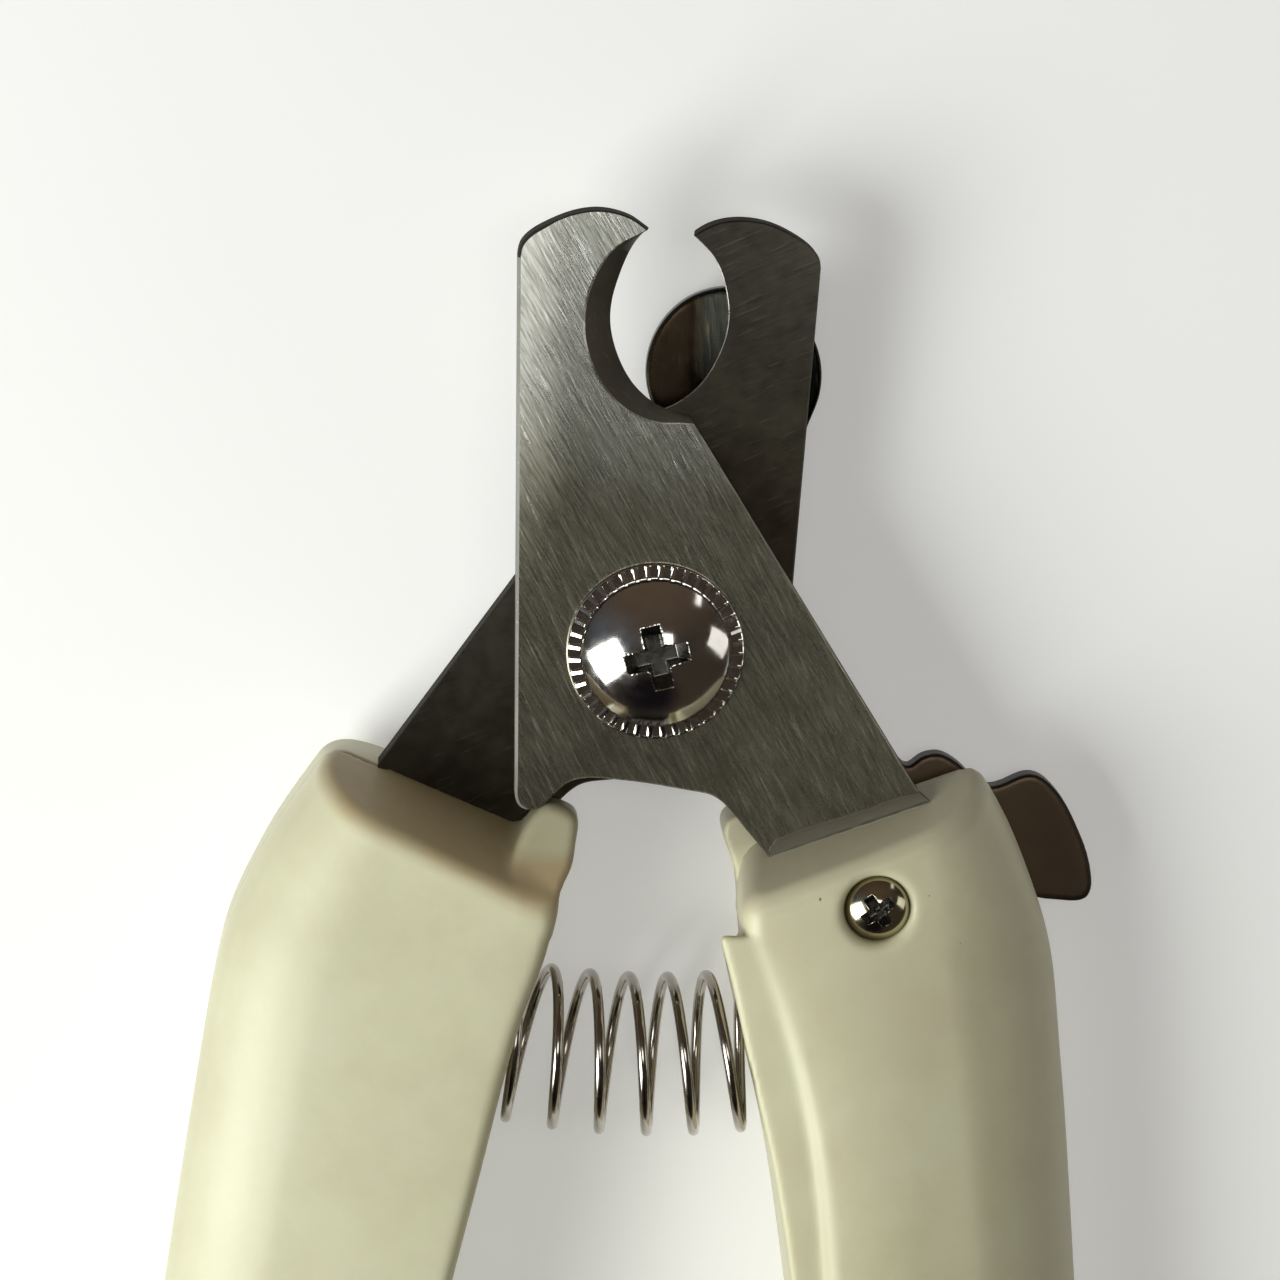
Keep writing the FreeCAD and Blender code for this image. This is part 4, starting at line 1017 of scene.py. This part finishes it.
sx_ = axis_steps(-5.45, 0.12, -2.85, 0.055, 2.85, 0.12, 5.45)
sz_ = axis_steps(-8.2, 0.14, -5.2, 0.6, 3.2, 0.075, 6.1)
P, F = nets(pivot_screw, sx_, sx_, sz_, relax=0, steps=4)
o = make("pivot_screw_domed", P, F, "right_half", "dome", ["pivot_screw"], sharp=38)
mid = P[F].mean(1)
rim = (np.hypot(mid[:, 0], mid[:, 1]) > 5.09) & (mid[:, 2] > 3.0)
# the faces inside the cross recess take the darker recess chrome, painted shade
mark_recess(o, mid, lambda x, y, z: (np.sqrt(x * x + y * y + (z - (PV_TOP - PV_R)) ** 2) < PV_R - 0.045) & (z > 3.7)
            & (np.hypot(x, y) < 3.2), "recess")
# the rim faces take the dark rim material, painted shade
o.data.materials.append(MAT["dome_rim"])
for q in np.nonzero(rim)[0]:
    o.data.polygons[int(q)].material_index = 2


def lock_nut(x, y, z):
    rho = np.hypot(x, y)
    h = np.full(np.broadcast(x, y, z).shape, -1e9)
    for i in range(6):
        a = math.radians(60 * i + 38)
        h = np.maximum(h, x * math.cos(a) + y * math.sin(a) - 4.0)
    b = rmax(h, z + 5.44, 0.10)
    b = rmax(b, -7.82 - z, 0.10)
    cone = (rho - 4.15 - (z + 7.82) * 1.7) / 1.97           # chamfered corners on the outside
    b = rmax(b, cone, 0.08)
    b = np.maximum(b, 2.44 - rho)
    # pressed collar ring round the thread
    groove = np.hypot(np.abs(rho - 3.15), z + 7.9) - 0.24
    return cut(b, groove, 0.05)


nx_ = axis_steps(-4.85, 0.13, 4.85)
P, F = nets(lock_nut, nx_, nx_, axis_steps(-8.1, 0.13, -5.2), relax=1)
make("lock_nut_hex", P, F, "right_half", "plain", ["lock_nut"])


HS_R, HS_TOP = 2.95, 1.62


def handle_screw(x, y, z):
    """Pan-head screw on the z axis; z = 0 is the seat under the head."""
    rho = np.hypot(x, y)
    dome = np.sqrt(x * x + y * y + (z - (HS_TOP - HS_R)) ** 2) - HS_R
    head = np.maximum(rmax(dome, rho - 2.33, 0.16), -z)
    head = cut(head, cross_recess(x, y, HS_TOP - z, 1.05, 0.42, 1.42, math.radians(38)))
    ang = np.arctan2(y, x)
    w = (z / 1.0 - ang / (2 * math.pi)) % 1.0
    body = np.interp(z, [-12.05, -11.1, 0.5], [0.1, 1.28, 1.28])
    th_ = rho - body + 0.30 * sstep(np.abs(w - 0.5), 0.12, 0.34) * (z < -1.2)
    th_ = np.maximum(np.maximum(th_ * 0.8, z - 0.3), -12.0 - z)
    return np.minimum(head, th_)


hx_ = axis_steps(-2.4, 0.085, -1.5, 0.045, 1.5, 0.085, 2.4)
P, F = nets(handle_screw, hx_, hx_, axis_steps(-12.3, 0.16, -0.2, 0.055, 1.7), relax=0, steps=4)
hid = P[F].mean(1)
hid = (np.sqrt(hid[:, 0] ** 2 + hid[:, 1] ** 2 + (hid[:, 2] - (HS_TOP - HS_R)) ** 2) < HS_R - 0.035) & (hid[:, 2] > 0.1) \
    & (np.hypot(hid[:, 0], hid[:, 1]) < 1.75)
SEAT = HALF_H - 1.75
UP_SEAT = 5.62
PR = []
for side, body, kind in ((1, "right_half", "right"), (-1, "left_half", "left")):
    both_P, both_F = [], []
    for k, (sx, sy) in enumerate((SCREW_UP, SCREW_LOW)):
        seat = UP_SEAT if (side > 0 and k == 0) else SEAT
        a = math.radians((0, 37)[k] + (0 if side > 0 else 63))
        Q = P.copy()
        Q[:, 0], Q[:, 1] = P[:, 0] * math.cos(a) - P[:, 1] * math.sin(a), P[:, 0] * math.sin(a) + P[:, 1] * math.cos(a)
        Q = Q + np.array([sx, sy, seat])
        both_F.append(F + sum(len(q) for q in both_P))
        both_P.append(Q)
    o = make(kind + "_pan_head_screws", np.concatenate(both_P), np.concatenate(both_F), body, "screw",
             [kind + "_handle_screws"], (side, 1, side), sharp=38)
    # painted shade: the cross recesses take the darker recess chrome
    o.data.materials.append(MAT["recess"])
    o.data.polygons.foreach_set("material_index", np.concatenate([hid, hid]).astype(np.int32))

# ================================================================ quick guard
TAB = smooth([(15.6, -5.2), (17.6, -7.6), (18.9, -8.75), (19.6, -8.2), (20.3, -7.88), (21.0, -7.80), (21.75, -8.05), (22.5, -8.52),
              (23.2, -9.15), (24.0, -9.85), (24.7, -10.05), (25.8, -9.78), (26.85, -9.24), (27.6, -9.05), (28.4, -9.22), (29.3, -9.9),
              (30.2, -10.96), (30.85, -12.04), (31.4, -13.12), (31.9, -14.21), (32.27, -15.3), (32.5, -16.4), (32.52, -17.35),
              (32.2, -17.97), (31.65, -18.2), (30.6, -18.22), (29.2, -18.15)], 0.35)
TAB_P = np.vstack([TAB, smooth(ARM_LOW, 0.8)[1:], [(0, 0), (9.0, 0.5)]])
ARM_P = np.array([(-3.0, 5.0), (0.8, 13.0), (0.2, 17.0), (5.0, 20.0), (9.9, 17.0), (10.1, 13.0), (8.6, 5.0), (7.4, 0.0), (0, 0)])
ZG1 = -2.96


def guard(x, y, z):
    d2 = rmin(poly_d(x, y, TAB_P), np.hypot(x, y) - 7.6, 1.2)
    d2 = rmin(d2, poly_d(x, y, ARM_P), 1.0)
    d2 = rmin(d2, np.hypot(x - 5.0, y - 18.8) - 6.15, 0.8)
    # front of the plate: flat below, stepping back on the left of the head
    t = np.clip((x - 1.9) / (8.6 - 1.9), -0.3, 1.3)
    soft = 0.5 * (t + np.sqrt(t * t + 0.006)) - 0.5 * ((t - 1) + np.sqrt((t - 1) ** 2 + 0.006))
    step = -2.2 * (1 - soft)
    up = sstep(y, 8.4, 13.2)
    zf = ZG1 + step * up
    th_ = 2.0 - 0.5 * up
    r = 0.26
    b = rmax(d2, z - zf, r)
    b = rmax(b, (zf - th_) - z, r)
    b = np.maximum(b, 3.06 - np.hypot(x, y))
    return b * 0.8


gx_ = axis_steps(-8.2, 0.24, 33.0)
gy_ = axis_steps(-18.8, 0.24, 25.4)
P, F = nets(guard, gx_, gy_, axis_steps(-7.4, 0.22, -2.6), relax=1)
make("quick_guard_plate", P, F, "guard", "guard", ["quick_guard"])

# ============================================================== return spring
WIRE, COIL = 0.39, 5.5
DA = 0.0566
A0, T0 = -0.121, 0.0


def spring_angle(t):
    """Angle along the coil axis at turn t: even pitch, closing up over the last turn at each end."""
    a = A0 + DA * t
    lim = 0.172
    over = np.maximum(np.abs(a) - lim, 0)
    return np.sign(a) * (np.minimum(np.abs(a), lim) + over * 0.42)


t_end = (0.172 + (0.2105 - 0.172) / 0.42) / DA
tt_ = np.linspace((-t_end * DA - A0) / DA, (t_end * DA - A0) / DA, 900)
an = spring_angle(tt_)
thh = 2 * math.pi * tt_
rad = SPRING_RAD - COIL * np.cos(thh)
zz_ = COIL * np.sin(thh)
C = np.stack([-0.03 + rad * np.sin(an) + 0.02 * zz_, SPRING_Y - rad * np.cos(an), zz_], 1)
Tn = np.gradient(C, axis=0)
Tn /= np.linalg.norm(Tn, axis=1)[:, None]
axis_dir = np.stack([np.cos(an), np.sin(an), np.zeros_like(an)], 1)
N1 = axis_dir - (axis_dir * Tn).sum(1)[:, None] * Tn
N1 /= np.linalg.norm(N1, axis=1)[:, None]
N2 = np.cross(Tn, N1)
ks = 14
ph = np.arange(ks) / ks * 2 * math.pi
rings = C[:, None, :] + WIRE * (N1[:, None, :] * np.cos(ph)[None, :, None] + N2[:, None, :] * np.sin(ph)[None, :, None])
Vs = rings.reshape(-1, 3)
nn = len(C)
ii, jj = np.meshgrid(np.arange(nn - 1), np.arange(ks), indexing="ij")
q0 = ii * ks + jj
q1 = ii * ks + (jj + 1) % ks
Fs = np.stack([q0, q1, q1 + ks, q0 + ks], -1).reshape(-1, 4)
Fs = [tuple(q) for q in Fs] + [tuple(range(ks))[::-1], tuple(range((nn - 1) * ks, nn * ks))]
spring = make("return_spring_coil", Vs, Fs, None, "wire", ["return_spring"], sharp=60)
sp_a = row((SPRING_RAD * math.sin(0.2165), SPRING_Y - SPRING_RAD * math.cos(0.2165), 0))
sp_b = row((-SPRING_RAD * math.sin(0.2165), SPRING_Y - SPRING_RAD * math.cos(0.2165), 0))
mid = (sp_a + sp_b) / 2
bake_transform(spring)

# ============================================ thin moulding lip at the right blade
TX0 = TOP_IN + TD * 0.15 + TN * (-DROP * 2.52)
n_f = 240
sf = np.linspace(0, 11.9, n_f)
rng = np.random.default_rng(7)


def wander(n, amp, smoothing):
    w = rng.normal(0, 1, n)
    k = np.hanning(smoothing)
    w = np.convolve(np.r_[w[-smoothing:], w, w[:smoothing]], k / k.sum(), "same")[smoothing:-smoothing]
    return w / w.std() * amp


ends = np.sqrt(np.clip((sf + 0.15) / 1.0, 0.05, 1)) * np.clip((11.95 - sf) / 0.5, 0.12, 1)
reach = (1.33 - 0.020 * sf + wander(n_f, 0.045, 71) + wander(n_f, 0.022, 9)) * ends
rise = (0.10 + wander(n_f, 0.022, 27)) * np.clip(ends * 1.3, 0, 1)
# section: distance past the plastic's edge, height above the blade; a low bead, then a thin web with a feathered edge
SEC = [(lambda r: r * 0 - 0.60, lambda h: h * 0 + 0.30), (lambda r: r * 0 - 0.06, lambda h: 0.05 + h),
       (lambda r: r * 0 + 0.03, lambda h: 0.045 + h), (lambda r: r * 0 + 0.13, lambda h: 0.05 + 0.25 * h),
       (lambda r: r * 0 + 0.22, lambda h: h * 0 + 0.045), (lambda r: r * 0.72, lambda h: h * 0 + 0.04),
       (lambda r: r - 0.03, lambda h: h * 0 + 0.025), (lambda r: r + 0.02, lambda h: h * 0 - 0.02)]
LP = np.array([np.column_stack([TX0[None] + TD[None] * sf[:, None] + TN[None] * fr(reach)[:, None], 2.52 + fh(rise)])
               for fr, fh in SEC])
ns = len(SEC)
ii, jj = np.meshgrid(np.arange(ns - 1), np.arange(n_f - 1), indexing="ij")
a0 = (ii * n_f + jj).ravel()
LF = np.stack([a0, a0 + 1, a0 + n_f + 1, a0 + n_f], 1)
# the bead is a dull grey-green: partly the flash's own grey, partly painted shade where the plastic meets the blade
o = make("right_handle_lip", LP.reshape(-1, 3), LF, "right_half", "cream_lip", [])
o.data.materials.append(MAT["web"])
o.data.materials.append(MAT["web_edge"])
o.data.polygons.foreach_set("material_index", ((ii.ravel() >= 2).astype(np.int32) + (ii.ravel() >= 5)).astype(np.int32))


# ------------------------------------------------------------ camera, lights
def look(cam_mm, right, up, back, f_px):
    cd = bpy.data.cameras.new("camera")
    cd.sensor_fit = "HORIZONTAL"
    cd.sensor_width = 36.0
    cd.lens = f_px / 1280.0 * 36.0
    cd.clip_start = 0.01
    cd.clip_end = 20.0
    cam = bpy.data.objects.new("camera", cd)
    bpy.context.scene.collection.objects.link(cam)
    m = Matrix.Identity(4)
    p = row(cam_mm)
    for j in range(3):
        m[j][0], m[j][1], m[j][2], m[j][3] = right[j], up[j], back[j], p[j]
    cam.matrix_world = m
    bpy.context.scene.camera = cam
    return cam


CAM_TX, CAM_TY, CAM_ROLL = math.radians(3.3), math.radians(10.6), math.radians(2.75)
CAM_DIST, PX_PER_MM = 380.0, 14.2
CAM_TARGET = np.array([-0.969, 0.247, 0.0])
nrm = np.array([-math.tan(CAM_TX), math.tan(CAM_TY), 1.0])
nrm /= np.linalg.norm(nrm)
rt = np.cross([0, 1.0, 0], nrm)
rt /= np.linalg.norm(rt)
upv = np.cross(nrm, rt)
cr, sr = math.cos(CAM_ROLL), math.sin(CAM_ROLL)
look(CAM_TARGET + nrm * CAM_DIST, cr * rt + sr * upv, cr * upv - sr * rt, nrm, CAM_DIST * PX_PER_MM)


def area(name, loc, target, size, size_y, radiance, color=(1, 1, 1), roll=0.0):
    """Soft panel of a given brightness. Sizes in metres, places in millimetres about the pivot."""
    ld = bpy.data.lights.new(name, "AREA")
    ld.shape = "RECTANGLE"
    ld.size = size
    ld.size_y = size_y
    ld.energy = radiance * math.pi * size * size_y
    ld.color = color
    o = bpy.data.objects.new(name, ld)
    bpy.context.scene.collection.objects.link(o)
    p, t = Vector(row(loc)), Vector(row(target))
    o.location = p
    q = (t - p).to_track_quat("-Z", "Y")
    o.rotation_euler = (q.to_matrix() @ Matrix.Rotation(roll, 3, "Z")).to_euler()
    return o


def polar(az, el, dist):
    a, e = math.radians(az), math.radians(el)
    return (dist * math.cos(e) * math.cos(a), dist * math.cos(e) * math.sin(a), dist * math.sin(e))


area("window_left", polar(-159, 36.3, 430), (0, 0, 0), 0.25, 0.31, 8.5, (0.97, 1.0, 0.95), math.radians(18))
area("window_right", polar(3, 15.5, 430), (0, 0, 0), 0.14, 0.20, 1.05, (1.0, 0.99, 0.93), math.radians(-35))
area("strip_right", polar(47, 13, 430), (0, 0, 0), 0.045, 0.13, 1.4, (1.0, 0.98, 0.95), math.radians(20))
area("ceiling_panel", (35, 69, 420), (35, 69, 0), 0.22, 0.11, 2.9, (0.98, 1.0, 0.95))

# dim brown room, a little bluer on the left, darkest where the camera stands, warmest above the jaws
world = bpy.data.worlds.new("studio")
bpy.context.scene.world = world
world.use_nodes = True
wn = world.node_tree
bg = wn.nodes["Background"]
wt = add(wn, "ShaderNodeTexCoord")


def toward(direction, lo, hi):
    d = add(wn, "ShaderNodeVectorMath", operation="DOT_PRODUCT")
    wn.links.new(wt.outputs["Generated"], d.inputs[0])
    v = Vector(direction).normalized()
    d.inputs[1].default_value = tuple(v)
    return maprange(wn, d.outputs["Value"], lo, hi, 0.0, 1.0)


wc = mixc(wn, toward((-0.75, 0.25, 0.62), 0.80, 0.97), (0.040, 0.031, 0.023), (0.075, 0.080, 0.092))
wc = mixc(wn, toward((-0.05, 0.93, 0.36), 0.40, 0.90), wc, (0.085, 0.060, 0.042))
wc = mixc(wn, toward((-0.05, -0.80, 0.60), 0.84, 0.96), wc, (0.006, 0.005, 0.006))
wn.links.new(wc, bg.inputs[0])
bg.inputs[1].default_value = 1.0

# pale floor
fl = bpy.data.meshes.new("floor")
S = 3.0
fl.from_pydata([(-S, -S, 0), (S, -S, 0), (S, S, 0), (-S, S, 0)], [], [(0, 1, 2, 3)])
floor = bpy.data.objects.new("floor", fl)
bpy.context.scene.collection.objects.link(floor)
floor.location = (0, 0, -0.00002)
fm, fnt, fb = new_mat("floor_white")
fcol = mixc(fnt, maprange(fnt, noise(fnt, coords(fnt), 6, 2.0, 0.5), 0.3, 0.7, 0.0, 1.0), (0.74, 0.74, 0.735), (0.76, 0.76, 0.755))
fnt.links.new(fcol, fb.inputs["Base Color"])
fb.inputs["Emission Color"].default_value = (1.0, 1.0, 0.99, 1)
fb.inputs["Emission Strength"].default_value = 0.32
fb.inputs["Roughness"].default_value = 0.9
floor.data.materials.append(fm)

bpy.context.scene.view_settings.view_transform = "Standard"
